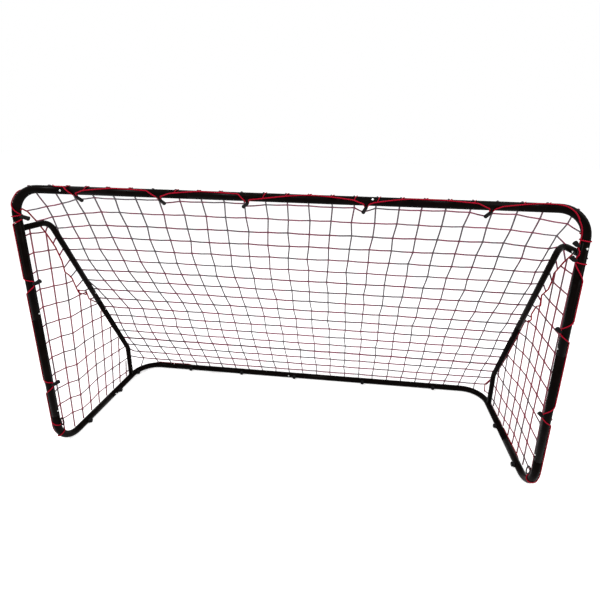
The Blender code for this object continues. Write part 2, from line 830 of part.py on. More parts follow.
def side_net(side, word):
    """The triangle between post, seam and ground bar: each row is one cell longer than the row above."""
    step_z = (seam_top_z + seam_top_y * seam_slope - net_foot - side_net_gap * seam_slope) / side_net_cells
    step_y = (seam_y(net_foot) - side_net_gap) / side_net_cells
    rows = []
    for row in range(side_net_cells - side_net_rows, side_net_cells + 1):
        z = net_foot + step_z * (side_net_cells - row)
        rows.append([Vector((side * wrapped_x(step_y * cell), step_y * cell, z)) for cell in range(row + 1)])
    inside_bend = corner_bend - (corner_bend - side_net_fold) * math.sqrt(0.5)
    rows[-1][0] = Vector((side * net_side, inside_bend, inside_bend))
    lattice(f"side_net_{word}", rows)


def stay_profile():
    """Depth and height of the back net's rows where it lies over the stays, and of the stay's centre line there."""
    lift = stay_tube_radius + net_off_stay
    slant = stay_slant()
    turn = Y.angle(slant)
    tangent = stay_knee_bend * math.tan(turn / 2)
    centre = Vector((0, stay_knee_y - tangent, stay_top - stay_knee_bend))
    back, line = [], []
    for share in (0, 0.5, 1):
        out = Vector((0, math.sin(turn * share), math.cos(turn * share)))
        longer = 1 / math.cos(turn / 4) if share == 0.5 else 1
        back.append(centre + out * (stay_knee_bend + lift) * longer)
        line.append(centre + out * stay_knee_bend * longer)
    out = Vector((0, math.sin(turn), math.cos(turn)))
    for row in range(net_stay_rows):
        along = slant * (net_leaves_stay / net_stay_rows) * (row + 1)
        back.append(centre + out * (stay_knee_bend + lift) + along)
        line.append(centre + out * stay_knee_bend + along)
    foot = Vector((0, goal_depth, net_foot))
    back.append(back[-1].lerp(foot, 0.5))
    line.append(line[-1].lerp(foot, 0.5))
    return back, line


def back_net():
    """The net behind the goal: down from the crossbar over the stays, and round their outside to the seams."""
    back, line = stay_profile()
    heights = [Vector((0, net_edge, post_height)), *back, Vector((0, goal_depth, net_foot))]
    knee_rows = len(back) - net_stay_rows - 1
    edges = [[(half_width - inner, behind, post_height - down) for inner, behind, down in net_top_turn]]
    for number, (place, stay_line) in enumerate(zip(back, line)):
        bent = 0 < number < knee_rows
        seam = seam_meeting(stay_line.z - (net_knee_drop if bent else 0))
        if number == 0:
            flank = stay_line + Vector((0, net_flank_back, net_flank_lift))
        elif number < len(back) - 3:
            flank = stay_line
        else:
            flank = (place + seam) / 2
        edges.append([
            (half_width, place.y, place.z),
            (half_width + stay_tube_radius + net_off_stay, flank.y, flank.z),
            (wrapped_x(seam.y) + cord_off_net, seam.y, seam.z),
        ])
    spreads = (0, net_foot_spread, net_edge)
    edges.append([corner_place(turn, corner_bend + spread) for turn, spread in zip(net_foot_turn, spreads)])
    rows = []
    for place, edge in zip(heights, edges):
        middle = [(x, place.y, place.z) for x in net_columns()[1:-1]]
        rows.append([Vector((-x, y, z)) for x, y, z in reversed(edge)] + [Vector(spot) for spot in middle + edge])
    lattice("back_net", rows)


def seam_meeting(height):
    """Where the back net meets the seam cord at a height, just behind the cord."""
    behind = (cord_radius + twine_width / 2 + fit_clearance) / seam_lean
    return Vector((0, seam_y(height) + behind, height))


def corner_place(degrees, radius):
    """A point above the rear bend, at net_foot: 0 degrees is where the bend meets the rear bar."""
    turn = math.radians(degrees)
    return (half_width - corner_bend + radius * math.sin(turn), goal_depth - corner_bend + radius * math.cos(turn), net_foot)


def net_columns():
    return [half_width * (2 * column / back_net_columns - 1) for column in range(back_net_columns + 1)]


def ground_flats(pieces):
    """Cuts the faint flat that the ground bars rest on."""
    shape = bmesh.new()
    bmesh.ops.create_cube(shape, size=1)
    wide, deep = 2 * half_width + corner_bend, goal_depth + corner_bend
    bmesh.ops.scale(shape, vec=(wide, deep, cutter_overshoot), verts=shape.verts)
    below = foot_flat - tube_radius - cutter_overshoot / 2
    bmesh.ops.translate(shape, vec=(0, goal_depth / 2, below), verts=shape.verts)
    mesh = bpy.data.meshes.new("ground_cutter")
    shape.to_mesh(mesh)
    shape.free()
    cutter = add_object("ground_cutter", mesh, powder_coat, helpers)
    for piece in pieces:
        boolean(piece, cutter, "DIFFERENCE")


# Assembly
cross = crossbar()
left = side_frame(-1, "left", left_bar_joint)
right = side_frame(1, "right", right_bar_joint)
rear = rear_bar()
for side, word, pieces in ((-1, "left", left), (1, "right", right)):
    x = side * half_width
    stays = stay(side, word)
    welded_stub(f"stay_top_stub_{word}", pieces["upper_post"], (x, 0, stay_top), Y, tube_radius + stub_reach)
    welded_stub(f"stay_foot_stub_{word}", pieces["rear_corner"], (x, stay_foot_y, 0), Z, stay_foot_stub_height)
    stay_buttons(side, word, pieces, stays)
    seam_cord(side, word)
    side_net(side, word)
main_buttons(cross, left, right, rear)
net_hooks(cross, left, right, rear)
ground_flats([pieces[name] for pieces in (left, right) for name in ("bottom_corner", "rear_corner")]
             + [rear["left"], rear["right"]])
border_rope()
back_net()
helpers.hide_render = True
bpy.context.view_layer.update()
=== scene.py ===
# %% [markdown]
# # A small sports goal
# The solids of this goal already exist: bent tubes, spring buttons, hooks, and plain forms for rope and
# net. This script dresses them. It makes rounder tubes, turned buttons, moulded hooks, a braided rope and a
# knotted net, gives each its finish, and photographs the goal in a plain white studio.

import json
import math

import bmesh
import bpy
from mathutils import Matrix, Vector


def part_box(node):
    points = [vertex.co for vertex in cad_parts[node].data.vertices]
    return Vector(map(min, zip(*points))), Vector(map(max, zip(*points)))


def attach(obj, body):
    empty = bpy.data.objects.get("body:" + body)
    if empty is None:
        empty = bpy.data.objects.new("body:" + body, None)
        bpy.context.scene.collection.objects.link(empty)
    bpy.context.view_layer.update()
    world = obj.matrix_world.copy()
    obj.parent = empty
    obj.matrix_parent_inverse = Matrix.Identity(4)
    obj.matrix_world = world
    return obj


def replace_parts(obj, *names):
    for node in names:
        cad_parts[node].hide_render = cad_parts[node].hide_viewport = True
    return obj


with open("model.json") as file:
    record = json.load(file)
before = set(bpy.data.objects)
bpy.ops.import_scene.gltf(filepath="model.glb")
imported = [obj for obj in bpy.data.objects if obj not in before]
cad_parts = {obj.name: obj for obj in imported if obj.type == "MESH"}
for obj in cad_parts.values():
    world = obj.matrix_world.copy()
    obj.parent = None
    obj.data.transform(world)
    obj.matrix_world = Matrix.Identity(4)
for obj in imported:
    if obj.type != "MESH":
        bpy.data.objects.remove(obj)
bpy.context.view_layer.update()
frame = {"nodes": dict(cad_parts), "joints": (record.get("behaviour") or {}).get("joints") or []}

# %% [markdown]
# The main sizes are read from the solids, so that every new piece lies where its solid does. Each box is a
# pair of corners. A joint between two tubes is where one tube's box ends.

# %% Read the sizes of the frame
bar_low, bar_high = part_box("crossbar_middle")
tube_radius = (bar_high.z - bar_low.z) / 2
mouth_y = (bar_low.y + bar_high.y) / 2
top_z = (bar_low.z + bar_high.z) / 2
half_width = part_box("upper_post_right")[1].x - tube_radius
rear_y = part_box("rear_bar_left")[1].y - tube_radius
ground_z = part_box("rear_bar_left")[1].z - tube_radius
goal_depth = rear_y - mouth_y
post_height = top_z - ground_z
print(f"mouth {2 * half_width:.3f} x {post_height:.3f} m, depth {goal_depth:.3f} m")
print(f"tube {2000 * tube_radius:.1f} mm thick")

# %% Sizes of the bends, the stays and the fittings, in metres
top_bend = 0.105
corner_bend = 0.120
stay_radius = 0.0125
rope_radius = 0.0021
cord_radius = 0.0031
twine_radius = 0.0030
mesh_rows = 18
mesh_columns = 25

SIDES = ((-1, "left"), (1, "right"))
X = Vector((1, 0, 0))
Y = Vector((0, 1, 0))
Z = Vector((0, 0, 1))
print(f"rope {2000 * rope_radius:.1f} mm, back net of {mesh_columns} columns and {mesh_rows} rows")

# %% [markdown]
# ## Finishes
# A colour written in hex is what the eye sees. Blender's shaders want linear light, so one function
# converts it. A second small function adds a node, with its settings and the links that feed it. Two more
# make a material and link what was made to its shader.

# %% Colour and node helpers
def linear(hex_colour):
    """An sRGB hex colour as linear red, green, blue and alpha."""
    parts = [int(hex_colour[i:i + 2], 16) / 255 for i in (1, 3, 5)]
    return (*[p / 12.92 if p <= 0.04045 else ((p + 0.055) / 1.055) ** 2.4 for p in parts], 1)


def add_node(tree, kind, settings=None, values=None, links=None, stops=()):
    """Adds a node: its settings, its sockets' values, the outputs that feed it, and its colour stops."""
    new = tree.nodes.new(kind)
    for key, value in (settings or {}).items():
        setattr(new, key, value)
    for key, value in (values or {}).items():
        new.inputs[key].default_value = value
    for key, output in (links or {}).items():
        tree.links.new(output, new.inputs[key])
    for number, (position, colour) in enumerate(stops):
        new.color_ramp.elements[number].position = position
        new.color_ramp.elements[number].color = linear(colour)
    return new


def new_finish(name, **sockets):
    """A material with one Principled shader, whose even values are set on its own sockets."""
    finish = bpy.data.materials.new(name)
    finish.use_nodes = True
    shader = finish.node_tree.nodes["Principled BSDF"]
    for key, value in sockets.items():
        shader.inputs[key.replace("_", " ")].default_value = value
    return finish, finish.node_tree, shader


def feed(tree, shader, **outputs):
    """Links outputs to the shader's sockets of the same names."""
    for key, output in outputs.items():
        tree.links.new(output, shader.inputs[key.replace("_", " ")])


print("black #0b090a in linear light:", [round(part, 5) for part in linear("#0b090a")])

# %% [markdown]
# The frame is mild steel tube with a black powder coat: plastic powder, baked until it flows into one skin.
# It is smooth but never flat. A faint orange peel, with waves about 2 mm apart, breaks up the highlights,
# and handling leaves dull patches with a trace of dust. A noise for each is cheaper than a painted map.

# %% Powder-coated steel
peel_wave = 0.002
scuff_size = 0.04
powder_coat, tree, shader = new_finish(
    "black_powder_coated_steel", Metallic=0.0, Roughness=0.28, IOR=1.5, Specular_IOR_Level=0.02,
)
place = add_node(tree, "ShaderNodeTexCoord").outputs["Object"]
peel = add_node(
    tree, "ShaderNodeTexNoise", values={"Scale": 1 / peel_wave, "Detail": 1.0}, links={"Vector": place},
)
scuffs = add_node(
    tree, "ShaderNodeTexNoise", values={"Scale": 1 / scuff_size, "Detail": 6.0, "Roughness": 0.7},
    links={"Vector": place},
)
gloss = add_node(
    tree, "ShaderNodeMapRange", values={"From Min": 0.35, "From Max": 0.7, "To Min": 0.22, "To Max": 0.36},
    links={"Value": scuffs.outputs["Fac"]},
)
coat = add_node(
    tree, "ShaderNodeValToRGB", links={"Fac": scuffs.outputs["Fac"]},
    stops=((0.45, "#060302"), (0.80, "#100a09")),
)
skin_bump = add_node(
    tree, "ShaderNodeBump", values={"Strength": 0.06, "Distance": 0.0002},
    links={"Height": peel.outputs["Fac"]},
)
feed(
    tree, shader, Base_Color=coat.outputs["Color"], Roughness=gloss.outputs["Result"],
    Normal=skin_bump.outputs["Normal"],
)
print(powder_coat.name, "orange peel every", round(1000 * peel_wave, 1), "mm")

# %% [markdown]
# The spring buttons are spring steel with a thin zinc plate. Zinc is a bluish white metal, and the plate
# dulls in blotches a few millimetres wide, so one noise varies both its colour and its gloss.

# %% Zinc-plated spring steel
blotch_size = 0.003
zinc_steel, tree, shader = new_finish("zinc_plated_spring_steel", Metallic=1.0, Roughness=0.30)
place = add_node(tree, "ShaderNodeTexCoord").outputs["Object"]
blotches = add_node(
    tree, "ShaderNodeTexNoise", values={"Scale": 1 / blotch_size, "Detail": 3.0}, links={"Vector": place},
)
plate = add_node(
    tree, "ShaderNodeValToRGB", links={"Fac": blotches.outputs["Fac"]},
    stops=((0.35, "#a4a6a6"), (0.65, "#d6d7d4")),
)
dulled = add_node(
    tree, "ShaderNodeMapRange", values={"To Min": 0.22, "To Max": 0.42},
    links={"Value": blotches.outputs["Fac"]},
)
feed(tree, shader, Base_Color=plate.outputs["Color"], Roughness=dulled.outputs["Result"])
print(zinc_steel.name, "made")

# %% [markdown]
# The hooks are injection-moulded polypropylene, a waxy plastic. The mould is spark-eroded, which leaves a
# fine grain about half a millimetre wide, so they look softer and a little greyer than the coated tube.

# %% Moulded polypropylene
grain_width = 0.0005
polypropylene, tree, shader = new_finish(
    "black_moulded_polypropylene", Base_Color=linear("#0b0a0b"), Roughness=0.48, IOR=1.49,
    Specular_IOR_Level=0.08,
)
place = add_node(tree, "ShaderNodeTexCoord").outputs["Object"]
grain = add_node(
    tree, "ShaderNodeTexNoise", values={"Scale": 1 / grain_width, "Detail": 2.0}, links={"Vector": place},
)
grain_bump = add_node(
    tree, "ShaderNodeBump", values={"Strength": 0.25, "Distance": 0.0001},
    links={"Height": grain.outputs["Fac"]},
)
feed(tree, shader, Normal=grain_bump.outputs["Normal"])
print(polypropylene.name, "made")

# %% [markdown]
# The border rope is braided polyester. Its yarns cross in two slanting families, so the surface is a
# lattice of small lozenges. Every rope mesh here has its UV laid out with u once round and v in metres
# along, so two families of waves that slant either way draw the braid. The real plait repeats every 4 mm.
# It is drawn at 6 mm, as coarse as it must be to show.

# %% A braid pattern for rope and twine
def braid(tree, repeat, slant, depth):
    """Bump and a shade value from two families of yarns that cross. repeat is in metres along the rope."""
    uv = add_node(tree, "ShaderNodeUVMap").outputs["UV"]
    parts = add_node(tree, "ShaderNodeSeparateXYZ", links={"Vector": uv})
    phases = []
    for axis, turns in (("Y", 2 * math.pi / repeat), ("X", 2 * math.pi * slant)):
        links = {0: parts.outputs[axis]}
        phases.append(add_node(tree, "ShaderNodeMath", {"operation": "MULTIPLY"}, {1: turns}, links))
    yarns = []
    for operation in ("ADD", "SUBTRACT"):
        links = {number: phase.outputs[0] for number, phase in enumerate(phases)}
        slanting = add_node(tree, "ShaderNodeMath", {"operation": operation}, links=links)
        yarns.append(add_node(tree, "ShaderNodeMath", {"operation": "SINE"}, links={0: slanting.outputs[0]}))
    links = {number: yarn.outputs[0] for number, yarn in enumerate(yarns)}
    height = add_node(tree, "ShaderNodeMath", {"operation": "MAXIMUM"}, links=links).outputs[0]
    bump = add_node(
        tree, "ShaderNodeBump", values={"Strength": 0.7, "Distance": depth}, links={"Height": height},
    )
    # The shade value is painted shade: it is lowest in the grooves between the yarns, where they shade each
    # other.
    shade = add_node(
        tree, "ShaderNodeMapRange", values={"From Min": -0.6, "From Max": 0.9}, links={"Value": height},
    )
    return bump.outputs["Normal"], shade.outputs["Result"]


print("braid of two crossing families of yarns ready")

# %% Braided polyester rope
rope_red, tree, shader = new_finish(
    "red_braided_polyester_rope", Roughness=0.72, IOR=1.5, Specular_IOR_Level=0.1,
)
normal, shade = braid(tree, repeat=0.006, slant=2, depth=0.0006)
# Painted shade: the braid's shade value makes the rope's red darker in the grooves between the yarns.
rope_colours_with_painted_shade = add_node(
    tree, "ShaderNodeValToRGB", links={"Fac": shade}, stops=((0, "#520010"), (1, "#ac0024")),
)
feed(tree, shader, Base_Color=rope_colours_with_painted_shade.outputs["Color"], Normal=normal)
print(rope_red.name, "made")

# %% [markdown]
# The net is knotted from twisted polyethylene twine, with black yarns and dark red ones in the same strand.
# Each yarn shows for some centimetres and dives again, so the twine changes colour along its length, and a
# noise picks the yarn that lies on top. The twine is drawn thicker than it is, as wide as its blurred lines
# in the photograph, so its colours are paler than the yarns, and a line looks as light as it does there. At
# that width its lay is too fine to tell from a braid, so the braid's pattern serves it too.

# %% Knotted twine, in three mixes of yarn
yarn_show = 0.09


def twine_finish(name, dark, red, red_share):
    """Twisted twine. red_share moves the noise's threshold, and so how much red shows."""
    finish, tree, shader = new_finish(name, Roughness=0.8, IOR=1.5, Specular_IOR_Level=0.2)
    place = add_node(tree, "ShaderNodeTexCoord").outputs["Object"]
    yarns = add_node(
        tree, "ShaderNodeTexNoise", values={"Scale": 1 / yarn_show, "Detail": 2.0}, links={"Vector": place},
    )
    normal, shade = braid(tree, repeat=0.005, slant=1, depth=0.0003)
    colours = add_node(
        tree, "ShaderNodeValToRGB", links={"Fac": yarns.outputs["Fac"]},
        stops=((0.62 - red_share / 2, dark), (0.72 - red_share / 2, red)),
    )
    # Painted shade: the braid's shade value darkens the yarns' colours in the grooves of the twine's lay.
    lay_with_painted_shade = add_node(
        tree, "ShaderNodeMix", {"data_type": "RGBA", "blend_type": "MULTIPLY"}, {"Factor": 0.5},
        {"A": colours.outputs["Color"], "B": shade},
    )
    feed(tree, shader, Base_Color=lay_with_painted_shade.outputs["Result"], Normal=normal)
    return finish


row_twine = twine_finish("twisted_polyethylene_twine_red", "#766c72", "#964e64", 0.42)
column_twine = twine_finish("twisted_polyethylene_twine_black", "#6e676c", "#825e6a", 0.2)
side_twine = twine_finish("twisted_polyethylene_twine_mixed", "#6a555a", "#924856", 0.45)
print("three mixes of twine made")

# %% [markdown]
# ## One way to make every round thing
# Tube, rope, cord, hook and twine are all a circle carried along a line. This function lays rings of points
# along a path and skins them. The rings keep their turn from one to the next, so nothing twists, and each
# face's UV counts once round and in metres along, which the braid above needs.

# %% Skin a path
def full_turn(steps):
    """The angles of even steps once round."""
    return [2 * math.pi * step / steps for step in range(steps)]


def ring_turns(path, closed):
    """The direction of travel and a sideways direction at each point of a path, without twist."""
    count = len(path)
    ways = []
    for i in range(count):
        before = path[i - 1] if i or closed else path[0]
        after = path[(i + 1) % count] if i < count - 1 or closed else path[-1]
        ways.append((after - before).normalized())
    side = ways[0].orthogonal().normalized()
    sides = [side]
    for last, way in zip(ways, ways[1:]):
        side = last.rotation_difference(way) @ side
        sides.append((side - way * side.dot(way)).normalized())
    if closed:
        home = ways[-1].rotation_difference(ways[0]) @ sides[-1]
        twist = home.angle(sides[0]) * (1 if home.cross(sides[0]).dot(ways[0]) > 0 else -1)
        sides = [Matrix.Rotation(twist * i / count, 3, ways[i]) @ s for i, s in enumerate(sides)]
    return ways, sides


def skin(path, radii, around=24, closed=False):
    """Points, faces and UVs of a round skin along a path, with its ends capped."""
    path = [Vector(p) for p in path]
    ways, sides = ring_turns(path, closed)
    turns = full_turn(around)
    points, faces, uvs = [], [], []
    run = [0.0]
    for a, b in zip(path, path[1:] + path[:1]):
        run.append(run[-1] + (b - a).length)
    for centre, way, side, radius in zip(path, ways, sides, radii):
        other = way.cross(side)
        points += [centre + (side * math.cos(turn) + other * math.sin(turn)) * radius for turn in turns]
    rings = len(path)
    for i in range(rings if closed else rings - 1):
        j = (i + 1) % rings
        for step in range(around):
            after = (step + 1) % around
            faces.append((i * around + step, i * around + after, j * around + after, j * around + step))
            low, high = step / around, (step + 1) / around
            uvs.append(((low, run[i]), (high, run[i]), (high, run[i + 1]), (low, run[i + 1])))
    if not closed:
        faces.append(tuple(reversed(range(around))))
        faces.append(tuple((rings - 1) * around + step for step in range(around)))
        uvs += [((0.5, run[0]),) * around, ((0.5, run[-2]),) * around]
    return points, faces, uvs


print("one skin for tube, rope, cord, hook and twine")

# %% [markdown]
# Three kinds of path come back often: a line of even thickness, an outline turned about a straight axis, as
# on a lathe, and corners joined by arcs, as a tube bender leaves them. Each has its own short function.

# %% Cords, turned outlines and rounded corners
def cord(path, radius, around=8, closed=False):
    """The skin of a line of even thickness."""
    return skin(path, [radius] * len(path), around, closed)


def turned(start, way, outline, around=24):
    """The skin of an outline of (distance, radius) pairs, turned about an axis."""
    return skin([start + way * at for at, radius in outline], [radius for at, radius in outline], around)


def rounded(corners, radii, steps=12):
    """A path through corners, with an arc of the given radius at each inner one."""
    path = [Vector(corners[0])]
    for before, corner, after, radius in zip(corners, corners[1:], corners[2:], radii):
        corner = Vector(corner)
        back = (Vector(before) - corner).normalized()
        ahead = (Vector(after) - corner).normalized()
        half = back.angle(ahead) / 2
        centre = corner + (back + ahead).normalized() * radius / math.sin(half)
        start = corner + back * radius / math.tan(half) - centre
        for step in range(steps + 1):
            turn = Matrix.Rotation((math.pi - 2 * half) * step / steps, 3, ahead.cross(back))
            path.append(centre + turn @ start)
    return path + [Vector(corners[-1])]


print("a square corner rounded has", len(rounded((X, X * 0, Y), (0.1,))), "points")

# %% [markdown]
# A piece is one mesh in the scene. It rides on the body that carries it, so that it moves when that body
# does.

# %% Make a piece of skins
sharp_from = math.radians(50)


def put(name, data):
    """A new object in the scene."""
    made = bpy.data.objects.new(name, data)
    bpy.context.scene.collection.objects.link(made)
    return made


def piece(name, skins, finish, body="frame"):
    """One smooth mesh made of skins. It rides on a body."""
    points, faces, uvs = [], [], []
    for more_points, more_faces, more_uvs in skins:
        start = len(points)
        points += more_points
        faces += [tuple(corner + start for corner in face) for face in more_faces]
        uvs += more_uvs
    mesh = bpy.data.meshes.new(name)
    mesh.from_pydata(points, [], faces)
    layer = mesh.uv_layers.new(name="UVMap")
    for loop, uv in zip(layer.data, [uv for face in uvs for uv in face]):
        loop.uv = uv
    mesh.materials.append(finish)
    mesh.shade_smooth()
    mesh.set_sharp_from_angle(angle=sharp_from)
    made = put(name, mesh)
    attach(made, body)
    return made


print("edges stay sharp from", round(math.degrees(sharp_from)), "degrees")

# %% [markdown]
# ## Camera
# The photograph was taken from just above the crossbar's height, a little right of the middle, with a wide
# lens. The place and angles below were solved from the straight runs of the tubes. The small shift is there
# because the picture is a crop of a larger one.

# %% The photograph's camera
camera_data = bpy.data.cameras.new("studio_camera")
camera = put("studio_camera", camera_data)
camera.location = (0.2787, mouth_y - 1.4098, ground_z + 1.3777)
camera.rotation_euler = [math.radians(angle) for angle in (73.679, -1.291, 5.973)]
camera_data.sensor_width = 36
camera_data.lens = 23.88
camera_data.shift_x = -0.03265
camera_data.shift_y = -0.0661
camera_data.clip_start = 0.05
bpy.context.scene.camera = camera
print("camera at", [round(part, 3) for part in camera.location])

# %% [markdown]
# ## Frame tubes
# Each tube is a length of 32 mm or 25 mm stock with rolled ends. Where two meet, the end of one is pressed
# smaller and slides into the next, and all that shows is a fine ring. The new tubes follow the paths of
# their solids with more sides, and each end turns in by less than a millimetre to draw that ring.

# %% Make a tube with rolled ends
end_roll = 0.0007
tubes = {}


def frame_tube(node, corners, bends=(), radius=tube_radius):
    """A tube of the frame through its corners, in the place of its solid."""
    path = rounded(corners, bends)
    first = (path[1] - path[0]).normalized()
    last = (path[-2] - path[-1]).normalized()
    path = [path[0], path[0] + first * end_roll] + path[1:-1] + [path[-1] + last * end_roll, path[-1]]
    radii = [radius - end_roll] + [radius] * (len(path) - 2) + [radius - end_roll]
    tubes[node] = piece(node + "_tube", [skin(path, radii, around=32)], powder_coat)
    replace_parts(tubes[node], node)


print("ends turn in by", 1000 * end_roll, "mm")

# %% Where the tubes meet, from the boxes of the solids
def edge(node, corner, axis):
    """One coordinate of a solid's lowest (0) or highest (1) corner."""
    return getattr(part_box(node)[corner], axis)


seams = {
    "crossbar_left": edge("top_corner_left", 1, "x"),
    "crossbar_right": edge("top_corner_right", 0, "x"),
    "middle_left": edge("crossbar_middle", 0, "x"),
    "middle_right": edge("crossbar_middle", 1, "x"),
    "post_top": edge("upper_post_left", 1, "z"),
    "post_middle": edge("upper_post_left", 0, "z"),
    "post_foot": edge("lower_post_left", 0, "z"),
    "bar_left": edge("rear_corner_left", 0, "y"),
    "bar_right": edge("rear_corner_right", 0, "y"),
    "rear_left": edge("rear_corner_left", 1, "x"),
    "rear_right": edge("rear_corner_right", 0, "x"),
    "rear_middle": edge("rear_bar_right", 0, "x"),
}
print({name: round(value, 3) for name, value in seams.items()})

# %% Crossbar and rear bar
for node, start, end, y, z in (
    ("crossbar_left", "crossbar_left", "middle_left", mouth_y, top_z),
    ("crossbar_middle", "middle_left", "middle_right", mouth_y, top_z),
    ("crossbar_right", "middle_right", "crossbar_right", mouth_y, top_z),
    ("rear_bar_left", "rear_left", "rear_middle", rear_y, ground_z),
    ("rear_bar_right", "rear_middle", "rear_right", rear_y, ground_z),
):
    frame_tube(node, [(seams[start], y, z), (seams[end], y, z)])
print("straight bars:", len(tubes))

# %% Posts, corners and ground bars
for side, word in SIDES:
    x = side * half_width
    bar = seams["bar_" + word]
    bar_end = (seams["crossbar_" + word], mouth_y, top_z)
    rear_end = (seams["rear_" + word], rear_y, ground_z)
    top, middle, foot = [(x, mouth_y, seams["post_" + part]) for part in ("top", "middle", "foot")]
    for kind, corners, bends in (
        ("top_corner", [bar_end, (x, mouth_y, top_z), top], (top_bend,)),
        ("upper_post", [top, middle], ()),
        ("lower_post", [middle, foot], ()),
        ("bottom_corner", [foot, (x, mouth_y, ground_z), (x, bar, ground_z)], (corner_bend,)),
        ("rear_corner", [(x, bar, ground_z), (x, rear_y, ground_z), rear_end], (corner_bend,)),
    ):
        frame_tube(f"{kind}_{word}", corners, bends)
print("tubes so far:", len(tubes))

# %% [markdown]
# A stay props each post from behind. It leaves the post level, bends down over a knee, slopes to a second
# bend and stands on the ground bar. It is two tubes over an inner sleeve, with a button at each end of the
# sleeve. Where it meets the post and the bar, a stub is welded on, so a small bead of weld runs round
# there.

# %% Stays
stay_knee_back = 0.154
stay_foot_rise = 0.190
stay_knee_bend = 0.075
stay_foot_bend = 0.050
# The sine of the stay's lean: its cut end hangs this share of its radius below the cut's middle
stay_lean = 0.45
stay_top = edge("upper_stay_left", 1, "z") - stay_radius
stay_foot_y = edge("lower_stay_left", 1, "y") - stay_radius
stay_knee_y = mouth_y + stay_knee_back
stay_foot_z = ground_z + stay_foot_rise
stay_split_z = edge("upper_stay_left", 0, "z") + stay_radius * stay_lean
slope = (stay_foot_y - stay_knee_y) / (stay_top - stay_foot_z)
split_y = stay_knee_y + (stay_top - stay_split_z) * slope
weld_steps = 24
weld_radius = 0.0016
weld_ripple = 0.0004


def weld(centre, out):
    """The skin of a bead round a stay's stub, where it stands on the side of a tube."""
    bead = []
    for turn in full_turn(weld_steps):
        across = X * math.cos(turn)
        lift = math.sqrt(tube_radius**2 - (stay_radius * math.cos(turn)) ** 2)
        upright = out.cross(X) * math.sin(turn)
        bead.append(Vector(centre) + across * stay_radius + upright * stay_radius + out * lift)
    ripples = [weld_radius + weld_ripple * math.sin(5 * step) for step in range(weld_steps)]
    return skin(bead, ripples, around=8, closed=True)


for side, word in SIDES:
    x = side * half_width
    split = (x, split_y, stay_split_z)
    upper = [(x, mouth_y + tube_radius, stay_top), (x, stay_knee_y, stay_top), split]
    lower = [split, (x, stay_foot_y, stay_foot_z), (x, stay_foot_y, ground_z + tube_radius)]
    frame_tube(f"upper_stay_{word}", upper, (stay_knee_bend,), stay_radius)
    frame_tube(f"lower_stay_{word}", lower, (stay_foot_bend,), stay_radius)
    for joint, centre, out in (("top", (x, mouth_y, stay_top), Y), ("foot", (x, stay_foot_y, ground_z), Z)):
        piece(f"stay_{joint}_weld_{word}", [weld(centre, out)], powder_coat)
    sleeve = frame["nodes"][f"stay_sleeve_{word}"]
    sleeve.data.materials.clear()
    sleeve.data.materials.append(powder_coat)
print("stays split at height", round(stay_split_z, 3))

# %% [markdown]
# ## Spring buttons
# A spring button is a turned pin that pops out through both tubes. Its joint tells which way it moves, so
# the new pin is turned about that axis: a domed head, a straight shank and the flange that stops it inside.
# The hole that it stands in is drilled in the tube, a little wider than the pin.

# %% Drill the tubes
button_radius = 0.004
hole_clearance = 0.0004
hole_depth = 0.003


def drill(tube, centre, outward):
    """Cuts a shallow round hole at a point of a tube's skin."""
    shape = bmesh.new()
    radius = button_radius + hole_clearance
    bmesh.ops.create_cone(
        shape, cap_ends=True, segments=24, radius1=radius, radius2=radius, depth=2 * hole_depth,
    )
    mesh = bpy.data.meshes.new("drill")
    shape.to_mesh(mesh)
    shape.free()
    bit = put("drill", mesh)
    bit.matrix_world = Matrix.Translation(centre) @ outward.to_track_quat("Z", "Y").to_matrix().to_4x4()
    cut = tube.modifiers.new("hole", "BOOLEAN")
    cut.operation = "DIFFERENCE"
    cut.object = bit
    bpy.context.view_layer.update()
    drilled = bpy.data.meshes.new_from_object(tube.evaluated_get(bpy.context.evaluated_depsgraph_get()))
    tube.modifiers.clear()
    tube.data = drilled
    bpy.data.objects.remove(bit)


def nearest_tube(spot):
    """The new tube whose skin is nearest to a point."""
    return min(tubes.values(), key=lambda tube: (tube.closest_point_on_mesh(spot)[1] - spot).length)


print("holes", round(2000 * (button_radius + hole_clearance), 1), "mm wide")

# %% Turn the buttons
# Heights above the pin's foot, with the radius there
flange_outline = ((0.0, 0.0052), (0.0010, 0.0054), (0.0011, button_radius))
# Depths under the pin's tip, with the share of its radius there
dome_outline = ((0.0016, 1.0), (0.0009, 0.93), (0.0004, 0.74), (0.0001, 0.4), (0.0, 0.08))
drill_below_tip = 0.0025

presses = {joint["child"]: -Vector(joint["axis"]).normalized() for joint in frame["joints"]}
for node, outward in presses.items():
    reaches = [outward.dot(vertex.co) for vertex in frame["nodes"][node].data.vertices]
    foot, tip = min(reaches), max(reaches)
    low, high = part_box(node)
    middle = (low + high) / 2
    axis_point = middle - outward * outward.dot(middle)
    outline = [(foot + above, radius) for above, radius in flange_outline]
    outline += [(tip - below, button_radius * share) for below, share in dome_outline]
    pin = piece(node + "_pin", [turned(axis_point, outward, outline)], zinc_steel, node)
    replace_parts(pin, node)
    skin_spot = axis_point + outward * (tip - drill_below_tip)
    drill(nearest_tube(skin_spot), skin_spot, outward)
print("spring buttons turned:", len(presses))

# %% [markdown]
# ## A way round the frame
# Hooks and rope both follow the frame, so a guide runs once round it, from the middle of the crossbar to
# the right and down. At each step it knows the centre of the tube, the way out of the loop and the way to
# the front. A place on the tube is then a distance along, and an angle: 0 is outward and 90 is the front.

# %% Walk the frame's centre line
guide_step = 0.004


